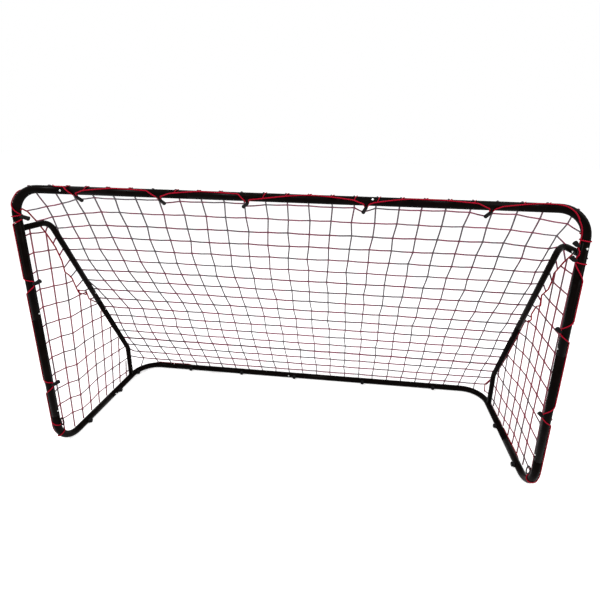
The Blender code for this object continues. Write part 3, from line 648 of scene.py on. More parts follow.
def walk_frame():
    """(distance, centre, outward, front) every few millimetres along the loop of the frame."""
    centre = Vector((0, mouth_y, top_z))
    along, outer, front = X.copy(), Z.copy(), -Y
    right_half = [
        (half_width - top_bend, None), (top_bend, "outer"), (post_height - top_bend - corner_bend, None),
        (corner_bend, "front"), (goal_depth - 2 * corner_bend, None), (corner_bend, "outer"),
    ]
    rear = 2 * (half_width - corner_bend)
    walked, distance = [], 0.0
    for size, turning in right_half + [(rear, None)] + right_half[::-1]:
        length = size * math.pi / 2 if turning else size
        steps = max(2, round(length / guide_step))
        away = outer if turning == "outer" else front
        for step in range(steps):
            share = step / steps
            if not turning:
                walked.append((distance + length * share, centre + along * length * share, outer, front))
                continue
            angle = share * math.pi / 2
            bent = away * math.cos(angle) + along * math.sin(angle)
            ways = (bent, front) if turning == "outer" else (outer, bent)
            walked.append((distance + length * share, centre + (bent - away) * size, *ways))
        if not turning:
            centre = centre + along * length
        elif turning == "outer":
            centre = centre + (along - away) * size
            outer, along = along, -away
        else:
            centre = centre + (along - away) * size
            front, along = along, -away
        distance += length
    return walked, distance


guide, loop_length = walk_frame()
print("once round the frame:", round(loop_length, 3), "m,", len(guide), "steps")

# %% A place on the tube
def seat(distance):
    """The centre of the tube and the ways outward and to the front, at a distance along the loop."""
    distance %= loop_length
    low, high = 0, len(guide) - 1
    while low < high:
        middle = (low + high + 1) // 2
        low, high = (middle, high) if guide[middle][0] <= distance else (low, middle - 1)
    here = guide[low]
    after = guide[(low + 1) % len(guide)]
    span = (after[0] - here[0]) % loop_length or guide_step
    share = (distance - here[0]) / span
    return tuple(a.lerp(b, share) for a, b in zip(here[1:], after[1:]))


def on_tube(distance, degrees, radius):
    """A point at an angle round the tube and a radius from its centre line."""
    centre, outer, front = seat(distance)
    turn = math.radians(degrees)
    return centre + (outer * math.cos(turn) + front * math.sin(turn)).normalized() * radius


print("a point on the front of the crossbar:", [round(part, 3) for part in on_tube(0, 90, tube_radius)])

# %% Distances along the loop of places on posts and bars
def post_place(height):
    """Distance along the loop of a height on the right post, above the ground bars' centre line."""
    straight_top = post_height - top_bend
    past = max(0, height - straight_top)
    bend_end = half_width - top_bend + top_bend * math.pi / 2
    return bend_end + max(0, straight_top - height) - top_bend * math.asin(past / top_bend)


def bar_place(depth):
    """Distance along the loop of a depth on the right ground bar, behind the posts' centre line."""
    bar_start = post_place(corner_bend) + corner_bend * math.pi / 2
    straight_end = goal_depth - corner_bend
    past = max(0, depth - straight_end)
    return bar_start + min(depth, straight_end) - corner_bend + corner_bend * math.asin(past / corner_bend)


rear_start = bar_place(goal_depth - corner_bend) + corner_bend * math.pi / 2


def rear_place(x):
    """Distance along the loop of a place on the rear bar."""
    return rear_start + half_width - corner_bend - x


print("the middle of the rear bar is", round(rear_place(0), 3), "m along")

# %% [markdown]
# ## Hooks
# The net hangs on moulded plastic hooks plugged into the inner side of the tube. On the crossbar each is a
# fat little J that points back and down into the goal, some of them knocked sideways. On the posts they are
# stouter and slant back and up, but for the left top one, which slants down. Those of the ground bars are
# short round-headed studs, because there the net only has to be kept from lifting. Each hook that has a
# solid of its own stands where that solid does, and the others stand at the heights and depths that the
# photograph shows.

# %% Places of the hooks
def middle_x(node):
    """Where the middle of a solid is across the goal."""
    low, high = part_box(node)
    return (low.x + high.x) / 2


crossbar_hook_places = [middle_x(f"crossbar_hook_{number}") for number in range(1, 6)]
rear_hook_places = [middle_x(f"rear_bar_hook_{number}") for number in range(1, 6)]
right_post_hooks = (post_height - 0.124, post_height - 0.177, post_height * 0.623, 0.377)
left_post_hooks = (post_height - 0.110, post_height * 0.675, 0.329)
left_loop_hook = 0.122
right_loop_hook = 0.098
right_bar_hooks = (0.153, goal_depth * 0.564)
left_bar_hooks = (0.179, goal_depth * 0.608, goal_depth - 0.098)
post_hook_seats = [post_place(height) for height in right_post_hooks]
post_hook_seats += [loop_length - post_place(height) for height in left_post_hooks]
right_top_seat, right_second_seat = post_hook_seats[:2]
left_top_seat = post_hook_seats[len(right_post_hooks)]
loop_seats = (loop_length - post_place(left_loop_hook), post_place(right_loop_hook))
bar_hook_seats = [bar_place(depth) for depth in right_bar_hooks]
bar_hook_seats += [loop_length - bar_place(depth) for depth in left_bar_hooks]
print("crossbar hooks at", [round(x, 3) for x in crossbar_hook_places])

# %% Forms of a long hook and a short one
hook_radius = 0.0064
hook_foot = 0.0062
stem_root = 0.0026
stem_length = 0.0075
arm_bend = 0.008
collar_rises = (-0.0004, 0.0010, 0.0018)
# How far before its end the arm's tip has each share of its thickness
tip_setbacks = (0.0065, 0.0025, 0.0, -0.0014)
tip_swells = (1.1, 1.15, 0.92, 0.4)
# Heights above the tube's skin, with the stud's radius there
stud_outline = (
    (-0.0004, 0.0125), (0.0008, 0.0125), (0.0030, 0.0108), (0.0062, 0.0098), (0.0080, 0.0104),
    (0.0100, 0.0106), (0.0118, 0.0092), (0.0128, 0.0056), (0.0132, 0.0010),
)


def long_hook(distance, reach, foot=hook_foot, thick=hook_radius):
    """The skin of a hook at a distance along the loop: collar, stem, and an arm to its swollen tip."""
    centre, outer, front = seat(distance)
    inward = -outer
    root = inward * (tube_radius + stem_root)
    elbow = inward * (tube_radius + stem_length)
    tip = inward * tube_radius + reach
    bent = rounded([root, elbow, tip], (arm_bend,), 8)
    arm_way = (tip - elbow).normalized()
    collar = [inward * (tube_radius + rise) for rise in collar_rises]
    tips = [tip - arm_way * setback for setback in tip_setbacks]
    path = [centre + spot for spot in collar + bent[:-1] + tips]
    swells = [thick * swell for swell in tip_swells]
    return skin(path, [foot, foot, foot * 0.95] + [thick] * (len(bent) - 1) + swells, around=16)


def short_hook(distance):
    """The skin of a short round-headed stud at a distance along the loop."""
    centre, outer, front = seat(distance)
    return turned(centre, -outer, [(tube_radius + rise, radius) for rise, radius in stud_outline], around=16)


print("a stud stands out by", 1000 * stud_outline[-1][0], "mm")

# %% Mould the hooks
# How far each crossbar hook reaches to the right, back and up, from the tube's inner side
crossbar_reaches = (
    (-0.002, 0.032, -0.027), (0.000, 0.032, -0.026), (-0.023, 0.020, -0.025), (-0.010, 0.020, -0.029),
    (-0.010, 0.022, -0.027),
)
# How far each post hook reaches inward and back
right_post_reach = (0.016, 0.006)
left_post_reach = (0.023, 0.013)
post_hook_rise = 0.010
post_hook_foot = 0.0092
post_hook_radius = 0.0080

for number, (x, reach) in enumerate(zip(crossbar_hook_places, crossbar_reaches), 1):
    hook = piece(f"crossbar_hook_{number}_moulding", [long_hook(x, Vector(reach))], polypropylene)
    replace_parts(hook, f"crossbar_hook_{number}")
for number, x in enumerate(rear_hook_places, 1):
    stud = piece(f"rear_bar_hook_{number}_moulding", [short_hook(rear_place(x))], polypropylene)
    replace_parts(stud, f"rear_bar_hook_{number}")
for number, distance in enumerate(post_hook_seats, 1):
    centre, outer, front = seat(distance)
    upward = (Z - outer * outer.z).normalized()
    rise = -post_hook_rise if distance == left_top_seat else post_hook_rise
    inward_reach, back_reach = right_post_reach if outer.x > 0 else left_post_reach
    reach = -outer * inward_reach + Y * back_reach + upward * rise
    hook = long_hook(distance, reach, post_hook_foot, post_hook_radius)
    piece(f"post_hook_{number}_moulding", [hook], polypropylene)
for number, distance in enumerate(bar_hook_seats, 1):
    piece(f"ground_bar_hook_{number}_moulding", [short_hook(distance)], polypropylene)
hook_count = len(crossbar_hook_places + rear_hook_places + post_hook_seats + bar_hook_seats)
print("hooks moulded:", hook_count)

# %% [markdown]
# At each bottom bend a loop of stiff black cord stands up from the post and holds the net's corner. It is a
# narrow ring, so its path is a stretched circle with one side against the tube.

# %% Bend the corner loops
loop_cord = 0.0026
loop_stand = 0.0125
loop_rise = 0.014
loop_half_width = 0.0072
loop_half_height = 0.019
for number, distance in enumerate(loop_seats, 1):
    centre, outer, front = seat(distance)
    middle = centre - outer * (tube_radius + loop_stand) + Z * loop_rise
    ring = [
        middle + outer * loop_half_width * math.cos(turn) + Z * loop_half_height * math.sin(turn)
        for turn in full_turn(32)
    ]
    piece(f"corner_loop_{number}", [cord(ring, loop_cord, around=10, closed=True)], polypropylene)
print("corner loops bent:", len(loop_seats))

# %% [markdown]
# ## Border rope
# One red rope runs once round the frame and carries the edge of the net. Between hooks it lies on the front
# and top of the crossbar, on the outer front of the posts, and on the outer side of the ground bars, where
# it dips at each stud and climbs over the bar in two places. At the left end of the crossbar it is tucked
# over to the back. The angle at which it rests round the tube is therefore a function of the distance.

# %% Where the rope rests
rope_rest = tube_radius + rope_radius
rest_front = 36
between_top_hooks = 148
tuck_middle = half_width - top_bend
tuck_half = 0.085
tuck_fade = 0.03
tuck_angle = 104
stud_dip = 42
dip_half = 0.03
climbs = ((rear_place(-0.84), 76), (bar_place(0.33), 42))
climb_half = 0.12
ground_seats = bar_hook_seats + [rear_place(x) for x in rear_hook_places]


def clamp(value, high=1):
    """A value kept between 0 and a highest one."""
    return max(0, min(high, value))


def bell(value, middle, half, power=2):
    """1 at the middle and falling off to both sides, the flatter on top the higher the power."""
    return math.exp(-(((value - middle) / half) ** power))


def rest_angle(distance):
    """The rope's angle between hooks: front of top on crossbar and posts, outer side on the ground bars."""
    distance %= loop_length
    if right_top_seat < distance < right_second_seat:
        return between_top_hooks
    from_tuck = abs(loop_length - tuck_middle - distance)
    tuck = tuck_angle * clamp((tuck_half - from_tuck) / tuck_fade)
    distance = min(distance, loop_length - distance)
    share = (distance - post_place(corner_bend)) / (corner_bend * math.pi / 2)
    return rest_front * (1 - clamp(share)) - tuck


def ground_angle(distance):
    """What the ground bars add: a dip to the floor at each stud, and a climb over the bar in two places."""
    angle = sum(stud_dip * bell(distance, there, dip_half) for there in ground_seats)
    for there, climb in climbs:
        angle -= climb * bell(distance, there, climb_half, 6)
    return angle


print("the rope rests at", round(rest_angle(0)), "degrees on the crossbar")

# %% [markdown]
# Near a hook the rope slants down the front of the tube, turns behind the hook's stem and climbs again, so
# each hook makes a V, no two alike. Each pull says how far off its V starts before and after the hook, and
# the angles that the rope has there.

# %% How the hooks pull the rope
crossbar_pulls = (
    (0.038, 36, 0.040, 80), (0.042, 52, 0.045, 77), (0.030, 52, 0.095, 80), (0.045, 76, 0.028, 95),
    (0.048, 64, 0.030, 88),
)
post_pulls = (
    (0.100, 128, 0.020, between_top_hooks), (0.020, between_top_hooks, 0.075, 36), (0.045, 40, 0.038, 40),
    (0.052, 44, 0.034, 40), (0.030, 40, 0.050, 40), (0.046, 40, 0.024, 40), (0.042, 40, 0.028, 40),
)
pulls = [(x % loop_length, *pull) for x, pull in zip(crossbar_hook_places, crossbar_pulls)]
pulls += [(place, *pull) for place, pull in zip(post_hook_seats, post_pulls)]
pulls.sort()
stem_turn = 0.010
approach = 0.130
shortest_approach = 0.001
crossbar_stem_angle = 118
post_stem_angle = 172
easing = 1.4


def between(first, last, share, on_top):
    """An angle between two others. On the crossbar it makes the rope look straight from the front."""
    if not on_top:
        return first + (last - first) * share
    first, last = (math.cos(math.radians(angle)) for angle in (first, last))
    return math.degrees(math.acos(first + (last - first) * share))


def pulled(gap, start, angle, rest, room, hook):
    """The angle to which a hook turns the rope from its rest, at a gap from the hook."""
    on_top = min(hook, loop_length - hook) < half_width - top_bend
    start = min(start, room / 2)
    if gap < start:
        at_stem = crossbar_stem_angle if on_top else post_stem_angle
        return between(at_stem, angle, (gap - stem_turn) / (start - stem_turn), on_top)
    reach = max(shortest_approach, min(approach, room / 2 - start + shortest_approach))
    share = min(1, (gap - start) / reach)
    return between(angle, max(0, rest), 1 - (1 - share) ** easing, on_top)


print("rope pulled by", len(pulls), "hooks")

# %% Lay the rope
rope_step = 0.0045
# Round the back of a stem: how far past it, the angle round the tube, and rope radii off the tube's skin
stem_places = ((-0.006, 165, 1.2), (0.0, 203, 2.1), (0.006, 165, 1.2))

rope_path = []
for (here, *_, start, angle), (after, next_start, next_angle, *_) in zip(pulls, pulls[1:] + pulls[:1]):
    room = (after - here) % loop_length
    for past, turn, lift in stem_places:
        rope_path.append(on_tube(here + past, turn, tube_radius + rope_radius * lift))
    steps = max(4, round((room - 2 * stem_turn) / rope_step))
    for step in range(steps + 1):
        gap = stem_turn + (room - 2 * stem_turn) * step / steps
        rest = rest_angle(here + gap)
        turn = max(pulled(gap, start, angle, rest, room, here),
                   pulled(room - gap, next_start, next_angle, rest, room, after))
        turn += min(0, rest) + ground_angle(here + gap)
        rope_path.append(on_tube(here + gap, turn, rope_rest))
rope = piece("border_rope_braid", [cord(rope_path, rope_radius, around=10, closed=True)], rope_red)
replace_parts(rope, "border_rope")
print("rope drawn through", len(rope_path), "points")

# %% [markdown]
# At the top hooks of both posts, and again near their feet, the rope also makes a round turn about the
# tube. Each turn is a ring of the same rope, tilted a little.

# %% Round turns on the posts
# Each turn's name, its distance along the loop and how far it tilts
for name, distance, tilt in (
    ("right_upper", right_top_seat - 0.018, 0.002),
    ("right_lower", right_second_seat + 0.009, 0.003),
    ("left_upper", left_top_seat + 0.004, -0.003),
    ("left_loop", loop_seats[0] + 0.009, 0.012),
    ("left_foot", loop_length - post_place(corner_bend) - 0.060, -0.010),
    ("right_foot", post_place(corner_bend) + 0.062, -0.014),
):
    ring = []
    for turn in range(0, 360, 12):
        ring.append(on_tube(distance + tilt * math.cos(math.radians(turn)), turn, rope_rest))
    piece(f"rope_turn_{name}", [cord(ring, rope_radius, around=10, closed=True)], rope_red)
print("round turns tied")

# %% [markdown]
# ## Back net
# The back net is 25 twines wide and 18 deep. A flat sheet of square mesh would be dull. The real one is
# pulled over the stays' knees, sinks a little in the middle, and is held where it is tied. Each knot is
# first placed on a flat sheet from crossbar to rear bar, by its column and row. Then it is pushed off the
# sheet as far as the stays hold it, along the camera's line of sight, so that its place in the picture
# stays.

# %% The surface of the back net
net_clearance = 0.0006
net_lift = twine_radius + net_clearance
net_top = Vector((0, mouth_y + tube_radius + net_lift, top_z))
net_foot = Vector((0, rear_y, ground_z + tube_radius + net_lift))
net_fall = (net_foot - net_top).length
down = (net_foot - net_top).normalized()
off_sheet = Vector((0, -down.z, down.y))
knee_hold = 0.042
knee_fall = 0.13
slope_start = 0.21
slope_length = 0.60
held_in_middle = 0.20
held_more_at_sides = 0.80
belly = 0.008


def stay_hold(fall):
    """How far the stays hold the net off the flat sheet, at a distance down it."""
    if fall < knee_fall:
        return knee_hold * math.sin(fall / knee_fall * math.pi / 2)
    return knee_hold * clamp(1 - (fall - slope_start) / slope_length)


def net_point(x, fall):
    """A point of the back net's surface, from its place on the flat sheet."""
    flat = Vector((x, 0, 0)) + net_top + down * fall
    share = min(1, abs(x) / half_width)
    held = stay_hold(fall) * (held_in_middle + held_more_at_sides * share**3)
    held -= belly * math.sin(math.pi * clamp(fall / net_fall)) * (1 - share**2)
    sight = flat - camera.location
    return flat + sight * held / sight.dot(off_sheet)


print("net falls", round(net_fall, 3), "m in", mesh_rows, "rows")

# %% [markdown]
# The rows lie a little further apart the lower they are. The columns lean to the left on their way down,
# the left ones most and the rightmost not at all, and are drawn together near half height. At the top
# corners, where the net is tied to the posts, the rows dip. No net hangs evenly, so three waves move each
# knot by a few millimetres.

# %% The knots of the back net
first_row = 0.036
row_pitch = 0.0712
row_stretch = 0.00028
top_start = -0.959
top_pitch = 0.0811
low_start = -1.0325
low_pitch = 0.0846
lean_fall = 0.46
gather = 0.030
gather_column = 3.2
gather_half = 2.8
pinch_fall = 0.76
pinch_half = 0.15
left_pinch = 0.040
right_pinch = 0.010
left_dip = 0.054
left_dip_columns = 2.6
right_dip = 0.034
right_dip_columns = 2.2
dip_rows = 3.2
corner_pull = 0.024
corner_pull_columns = 0.6
corner_pull_rows = 0.7
# Size of each wave in metres, and its phase by column and by row
waves_across = ((0.0025, 2.3, 1.7), (0.002, 5.1, -2.9))
waves_down = ((0.0018, 1.9, 3.7),)


def row_fall(row):
    """Distance of a row down the net."""
    return first_row + row_pitch * row + row_stretch * row**2


def column_x(column, fall):
    """How far across a column is at a distance down the net."""
    top_x = top_start + top_pitch * column - gather * bell(column, gather_column, gather_half)
    low_x = low_start + low_pitch * column
    share = clamp(fall / lean_fall)
    x = top_x + (low_x - top_x) * share * share * (3 - 2 * share)
    return x - bell(fall, pinch_fall, pinch_half) * ((left_pinch if x < 0 else right_pinch) * x)


def wander(waves, column, row):
    """How far waves move a knot."""
    return sum(size * math.sin(by_column * column + by_row * row) for size, by_column, by_row in waves)


def knot_point(column, row):
    """Where a column and a row of the back net are knotted."""
    from_right = mesh_columns - 1 - column
    dip = left_dip * max(0, 1 - column / left_dip_columns)
    dip += right_dip * max(0, 1 - from_right / right_dip_columns)
    fall = row_fall(row) + dip * math.exp(-row / dip_rows) + wander(waves_down, column, row)
    across = wander(waves_across, column, row)
    across += corner_pull * math.exp(-from_right / corner_pull_columns - row / corner_pull_rows)
    return net_point(column_x(column, fall) + across, fall)


print("rows", round(row_pitch, 3), "m apart or a little more, columns", round(top_pitch, 3), "m")

# %% [markdown]
# ## Lacing
# At each side the back net turns round the outside of the stay and is laced to the side net with a red
# cord. The cord steps from knot to knot, so it is a jagged line and not a curve. Its knots are given here
# by their depth behind the post and their height above the ground bar, and the cord lies on the outside of
# the tubes.

# %% The lacing's knots
side_clearance = 0.001
side_x = half_width + tube_radius + net_lift + side_clearance
lace_foot = ((0.410, 0.548), (0.437, 0.490), (0.470, 0.430), (0.505, 0.360), (0.540, 0.300), (0.575, 0.240))
left_foot = ((0.598, 0.185), (0.604, 0.135), (0.612, 0.070), (0.614, 0.022))
right_foot = ((0.612, 0.185), (0.645, 0.135), (0.685, 0.070), (0.682, 0.022))
laces = {
    "left": (
        (0.052, 1.100), (0.077, 1.083), (0.111, 1.039), (0.153, 0.975), (0.190, 0.906), (0.214, 0.836),
        (0.222, 0.778), (0.243, 0.757), (0.260, 0.734), (0.281, 0.668), (0.340, 0.639), (0.353, 0.592),
        *lace_foot, *left_foot,
    ),
    "right": (
        (0.040, 1.085), (0.075, 1.035), (0.109, 0.999), (0.150, 0.961), (0.205, 0.899), (0.210, 0.863),
        (0.226, 0.822), (0.272, 0.778), (0.264, 0.734), (0.299, 0.716), (0.332, 0.663), (0.323, 0.642),
        (0.346, 0.617), (0.379, 0.613), *lace_foot, *right_foot,
    ),
}


def wrapped_x(y):
    """How far out the net lies at a depth: beside the ground bar, then drawn in round the rear corner."""
    past = clamp(y - (rear_y - corner_bend), corner_bend)
    return half_width - corner_bend + math.sqrt((corner_bend + side_x - half_width) ** 2 - past**2)


def side_point(side, depth, height):
    """A point on the outside of the frame, at a depth behind the post and a height above the ground bar."""
    y = mouth_y + depth
    return Vector((side * wrapped_x(y), y, ground_z + height))


print("lacing of", len(laces["left"]), "and", len(laces["right"]), "knots")

# %% Places on the lacing
def along_lace(word, distance):
    """Depth and height at a distance down the lacing."""
    for (y1, z1), (y2, z2) in zip(laces[word], laces[word][1:]):
        step = math.hypot(y2 - y1, z2 - z1)
        if distance <= step:
            return y1 + (y2 - y1) * distance / step, z1 + (z2 - z1) * distance / step
        distance -= step
    return laces[word][-1]


def read_off(pairs, value):
    """The second number of a line of pairs where the first one has a value, or at the nearer end."""
    for (a, first), (b, last) in zip(pairs, pairs[1:]):
        if min(a, b) <= value <= max(a, b):
            return first + (last - first) * (value - a) / (b - a)
    return min((pairs[0], pairs[-1]), key=lambda pair: abs(pair[0] - value))[1]


def lace_height(word, depth):
    """Height of the lacing at a depth."""
    return read_off(laces[word], depth)


def lace_depth(word, height):
    """Depth of the lacing at a height."""
    return read_off([(z, y) for y, z in laces[word]], height)


print("the left lacing is", round(lace_depth("left", 0.5), 3), "m deep at a height of half a metre")

# %% Lace the seams
tie_height = 1.112
tie_angle = 176
cord_clearance = 0.0005
tie_radius = tube_radius + cord_radius + cord_clearance
# A short ladder of cord beside a knot of the left lacing
rung_knots = ((0.281, 0.668), (0.288, 0.650), (0.336, 0.622), (0.341, 0.638))
rung_radius = cord_radius * 0.9

for side, word in SIDES:
    start = on_tube(side * post_place(tie_height), tie_angle, tie_radius)
    line = [start] + [side_point(side, depth, height) for depth, height in laces[word]]
    cords = [cord(line, cord_radius)]
    if word == "left":
        cords.append(cord([side_point(side, depth, height) for depth, height in rung_knots], rung_radius))
    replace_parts(piece(f"seam_cord_{word}_lacing", cords, rope_red), f"seam_cord_{word}")
print("seams laced:", len(SIDES))

# %% [markdown]
# A strand is one twine: nearly straight between its knots, with the twine's own small sag, and swollen for
# a few millimetres where it is knotted to another.

# %% One twine through its knots
knot_swell = 1.75
knot_half = 0.0035
shortest_gap = 0.0005
sagging_gap = 0.03
twine_sag = 0.014


def strand(line, radius=twine_radius, knots=()):
    """The skin of one twine through a line of points, thicker where it is knotted."""
    path, radii = [], []
    for i, (a, b) in enumerate(zip(line, line[1:])):
        gap = (b - a).length
        if gap < shortest_gap:
            continue
        near = min(knot_half, gap / 3) / gap
        path += [a, a.lerp(b, near)]
        radii += [radius * (knot_swell if i in knots else 1.0), radius]
        if gap > sagging_gap:
            path.append(a.lerp(b, 0.5) - Z * gap * twine_sag)
            radii.append(radius)
        path.append(b.lerp(a, near))
        radii.append(radius)
    path.append(line[-1])
    radii.append(radius * (knot_swell if len(line) - 1 in knots else 1.0))
    return skin(path, radii, around=6)


print("knots", round(2000 * twine_radius * knot_swell, 1), "mm thick")

# %% [markdown]
# A row runs from lacing to lacing and goes round the outside of the stays. The top two lie above the stays'
# slopes and go straight to the lacing, and the topmost also hangs on the tips of the hooks. A column starts
# over the top of the crossbar, goes through its knots and ends behind the rear bar.

# %% Rows and columns
top_row_height = 1.118
top_row_angle = 182
top_row_end = on_tube(post_place(top_row_height), top_row_angle, tube_radius + net_lift)
rows_before_stay = 2
first_laced = 0.020
laced_pitch = 0.0665
over_bar = (12, -14, -40, -66)
tied_radius = tube_radius + 0.0008
bend_lead = 0.35
above_tip = 0.003
hook_tips = [
    seat(x)[0] + Vector(reach) - Z * (tube_radius - above_tip)
    for x, reach in zip(crossbar_hook_places[1:], crossbar_reaches[1:])
]


def row_end(side, word, row):
    """A row's way from its last knot to the lacing, round the outside of the stay where there is one."""
    depth, height = along_lace(word, first_laced + laced_pitch * row)
    laced = side_point(side, depth, height)
    if row == 0 and word == "right":
        return [top_row_end]
    if row < rows_before_stay:
        return [laced]
    beside = net_point(side * half_width, row_fall(row))
    beside.x = side * (half_width + stay_radius + net_lift)
    return [beside, laced]


def row_line(row):
    """A row of the back net, from lacing to lacing."""
    middle = [knot_point(column, row) for column in range(mesh_columns)]
    if row == 0:
        middle = sorted(middle + hook_tips, key=lambda spot: spot.x)
    return row_end(-1, "left", row)[::-1] + middle + row_end(1, "right", row)


def column_line(column):
    """A column of the back net, from over the top of the crossbar down to the rear bar."""
    top_x = column_x(column, 0)
    on_bend = max(0, abs(top_x) - half_width + top_bend)
    along = math.copysign(abs(top_x) + bend_lead * on_bend, top_x)
    over = [on_tube(along, turn, tied_radius) for turn in over_bar]
    foot_x = column_x(column, net_fall)
    past = clamp(abs(foot_x) - half_width + corner_bend, corner_bend)
    bar_y = rear_y - corner_bend + math.sqrt(corner_bend**2 - past**2)
    foot = Vector((foot_x, bar_y, ground_z + tube_radius + net_lift * 0.5))
    behind = Vector((foot_x, bar_y + tube_radius * 0.9, ground_z + tube_radius * 0.5))
    return over + [knot_point(column, row) for row in range(mesh_rows)] + [foot, behind]


print("the top row hangs on", len(hook_tips), "hooks")

# %% Tie the back net
thick_row = 14
thick_extra = 0.25
row_growth = 0.016
rows = []
for row in range(mesh_rows):
    ends = 1 if row < rows_before_stay else 2
    thickness = 1.0 + row_growth * row + (thick_extra if row == thick_row else 0.0)
    line = row_line(row)
    rows.append(strand(line, twine_radius * thickness, range(ends, len(line) - ends)))
column_knots = range(len(over_bar), len(over_bar) + mesh_rows)
columns = [strand(column_line(column), knots=column_knots) for column in range(mesh_columns)]
back_rows = piece("back_net_row_twines", rows, row_twine)
piece("back_net_column_twines", columns, column_twine)
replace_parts(back_rows, "back_net")
print("back net:", len(rows), "rows and", len(columns), "columns")

# %% [markdown]
# The columns of the net are whipped to the rope with turns of red cord that come over the top of the
# crossbar. They show as short upright ticks. Close to a hook, where the rope goes behind the stem, there is
# none.

# %% Tie the net to the rope
whipping_radius = 0.0014
whipping_lift = 0.0016
whipping_top = -10
whipping_steps = 6
whipping_drift = 0.002
hook_room = 0.03
near_top = 0.05
top_rope = [spot for spot in rope_path if spot.z >= top_z - near_top]

ticks = []
for column in range(mesh_columns):
    x = column_x(column, 0)
    if abs(x) > half_width - top_bend or min(abs(x - hook) for hook in crossbar_hook_places) < hook_room:
        continue
    way = min(top_rope, key=lambda spot: abs(spot.x - x)) - seat(x)[0]
    low = math.degrees(math.atan2(-way.y, way.z)) % 360
    if low > 180:
        continue
    line = []
    for step in range(whipping_steps + 1):
        turn = low + (whipping_top - low) * step / whipping_steps
        line.append(on_tube(x + whipping_drift * step, turn, tube_radius + whipping_lift))
    ticks.append(cord(line, whipping_radius, around=6))
piece("rope_whippings", ticks, rope_red)
print("whippings:", len(ticks))

# %% [markdown]
# ## Side nets
# Each side net fills the triangle between post, lacing and ground bar. On the left its upright twines lean
# a little back as they rise, and its level ones fall towards the lacing and are drawn down above the first
# stud of the ground bar. The right net hangs otherwise: its uprights bow, and its level twines rise a
# little before they fall to the lacing.

# %% Where the twines of the side nets run
left_uprights = 0.057
left_upright_pitch = 0.064
left_spread = 0.018
left_lean = 0.012
right_uprights = 0.068
right_upright_pitch = 0.071
right_bow = 0.012
left_levels = 0.996
left_level_pitch = 0.0815
left_slope = 0.13
left_hooked = 0.026
left_hooked_depth = 0.21
left_hooked_half = 0.065
right_levels = 1.020
right_level_pitch = 0.0812
right_rise = 0.016
right_rise_depth = 0.29
right_rise_half = 0.09
right_slope = 0.05
right_slope_start = 0.35
right_post_drop = 0.10
right_drop_end = 0.14


def side_column(word, column, height):
    """Depth of an upright twine of a side net at a height."""
    if word == "left":
        return left_uprights + left_upright_pitch * column + (left_spread * column + left_lean) * height
    return right_uprights + right_upright_pitch * column + right_bow * math.sin(3 * height + column)


def side_row(word, row, depth):
    """Height of a level twine of a side net at a depth."""
    if word == "left":
        hooked_down = left_hooked * bell(depth, left_hooked_depth, left_hooked_half) * clamp(row / 10)
        return left_levels - left_level_pitch * row - left_slope * (depth - 0.06) - hooked_down
    rise = right_rise * bell(depth, right_rise_depth, right_rise_half)
    rise -= right_slope * max(0, depth - right_slope_start)
    drop = right_post_drop * max(0, right_drop_end - depth) * min(1, row / 6)
    return right_levels - right_level_pitch * row + rise - drop


print("the top level twines start at", left_levels, "and", right_levels, "m")

# %% [markdown]
# An upright twine hangs from the lacing, and is knotted to each level twine that it crosses below it. A
# level one is tied round the post and ends at the lacing. Where a twine would end is read off the lacing's
# line.

# %% Tie the side nets
side_columns = range(9)
side_rows = range(-1, 13)
round_post = (30, 0, -30)
lowest_knot = 0.02
knot_under_top = 0.015
upright_foot = 0.006
highest_level = 1.06
lowest_level = 0.025
lowest_spot = 0.012
knot_before_lace = 0.012
lowest_tie = 0.13
beside_post = 0.1
half_way_up = 0.5
lace_allowance = 0.02


def side_uprights(side, word):
    """The skins of a side net's upright twines."""
    for column in side_columns:
        start = side_column(word, column, 0)
        top = min(stay_top - ground_z, lace_height(word, side_column(word, column, lace_height(word, start))))
        crossed = [side_row(word, row, side_column(word, column, half_way_up)) for row in side_rows]
        heights = [height for height in crossed if lowest_knot < height < top - knot_under_top]
        if not heights:
            continue
        spots = [(side_column(word, column, height), height) for height in [top] + heights]
        spots.append((start, upright_foot))
        line = [side_point(side, depth, height) for depth, height in spots]
        yield strand(line, knots=range(1, len(line) - 1))


def side_levels(side, word):
    """The skins of a side net's level twines."""
    for row in side_rows:
        level = side_row(word, row, beside_post)
        if level > highest_level or level < lowest_level:
            continue
        reach = lace_depth(word, level - lace_allowance)
        depths = [side_column(word, column, level) for column in side_columns]
        depths = [depth for depth in depths if depth < reach - knot_before_lace]
        depths.append(lace_depth(word, side_row(word, row, reach)))
        post = side * post_place(max(level, lowest_tie))
        line = [on_tube(post, turn, tied_radius) for turn in round_post]
        line += [side_point(side, depth, max(side_row(word, row, depth), lowest_spot)) for depth in depths]
        yield strand(line, knots=range(len(round_post), len(line) - 1))


for side, word in SIDES:
    twines = [*side_uprights(side, word), *side_levels(side, word)]
    made = piece(f"side_net_{word}_twines", twines, side_twine)
    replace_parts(made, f"side_net_{word}")
    print(made.name, "of", len(twines), "twines,", len(made.data.polygons), "faces")

# %% [markdown]
# ## Studio
# The photograph is a cut-out on pure white. A pale floor takes the shadow, and floor and sky are white to
# the camera, in reflections and through glass, while other light meets them at a plain level. The Light
# Path node tells which ray has arrived.

# %% Floor and backdrop
floor_glow = 0.56
floor_size = 30
floor_gap = 0.0005


def emptied(owner):
    """The node tree of a material or a world, with nothing in it."""
    owner.use_nodes = True
    owner.node_tree.nodes.clear()
    return owner.node_tree


def seen_directly(tree):
    """1 for a ray of the camera, a reflection or glass, and 0 for other light."""
    rays = add_node(tree, "ShaderNodeLightPath").outputs
    seen = rays["Is Camera Ray"]
    for kind in ("Is Glossy Ray", "Is Transmission Ray"):
        links = {0: seen, 1: rays[kind]}
        seen = add_node(tree, "ShaderNodeMath", {"operation": "MAXIMUM"}, links=links).outputs[0]
    return seen


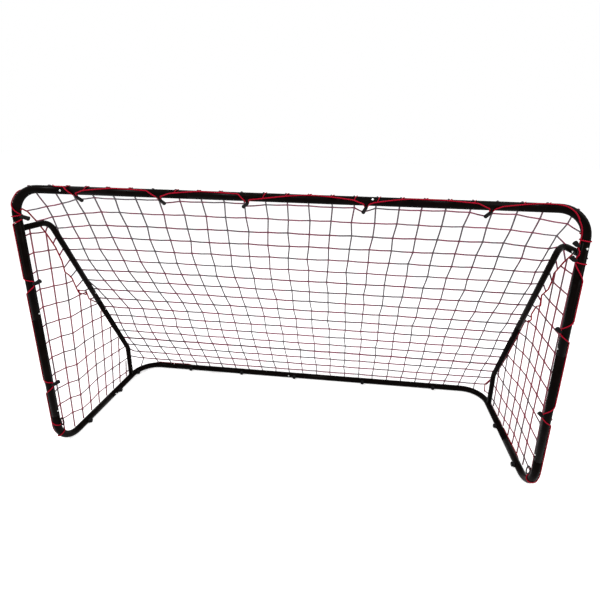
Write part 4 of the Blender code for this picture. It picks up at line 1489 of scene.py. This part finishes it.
floor_finish = bpy.data.materials.new("white_studio_floor")
tree = emptied(floor_finish)
seen = seen_directly(tree)
glow = add_node(tree, "ShaderNodeMath", {"operation": "MULTIPLY"}, {1: floor_glow}, {0: seen})
white = add_node(
    tree, "ShaderNodeEmission", values={"Color": (1, 1, 1, 1)}, links={"Strength": glow.outputs[0]},
)
matt = add_node(tree, "ShaderNodeBsdfDiffuse", values={"Color": linear("#f2f2f2"), "Roughness": 0.5})
both = add_node(tree, "ShaderNodeAddShader", links={0: matt.outputs[0], 1: white.outputs[0]})
add_node(tree, "ShaderNodeOutputMaterial", links={"Surface": both.outputs[0]})
shape = bmesh.new()
bmesh.ops.create_grid(shape, x_segments=2, y_segments=2, size=floor_size)
mesh = bpy.data.meshes.new("studio_floor")
shape.to_mesh(mesh)
shape.free()
mesh.materials.append(floor_finish)
floor = put("studio_floor", mesh)
floor.location.z = -floor_gap
print("floor", floor.name)

# %% [markdown]
# Two small lamps draw the short highlights on the bends, and a large one fills the rest. All three look at
# the middle of the goal.

# %% World and lamps
sky_light = 0.55
lamp_aim = Vector((0, 0, 0.5))

world = bpy.data.worlds.new("white_studio")
bpy.context.scene.world = world
tree = emptied(world)
level = add_node(
    tree, "ShaderNodeMapRange", values={"To Min": sky_light, "To Max": 1.0},
    links={"Value": seen_directly(tree)},
)
sky = add_node(
    tree, "ShaderNodeBackground", values={"Color": (1, 1, 1, 1)}, links={"Strength": level.outputs["Result"]},
)
add_node(tree, "ShaderNodeOutputWorld", links={"Surface": sky.outputs[0]})
for name, spot, size, watts in (
    ("key_softbox", (-2.1, -1.9, 3.4), 0.16, 70),
    ("top_softbox", (0.75, -1.35, 3.2), 0.14, 30),
    ("fill_softbox", (2.8, -1.2, 2.6), 1.8, 35),
):
    lamp_data = bpy.data.lights.new(name, "AREA")
    lamp_data.size = size
    lamp_data.energy = watts
    lamp = put(name, lamp_data)
    lamp.location = spot
    lamp.rotation_euler = (lamp_aim - Vector(spot)).to_track_quat("-Z", "Y").to_euler()
bpy.context.scene.view_settings.view_transform = "Standard"
print("world and three softboxes")
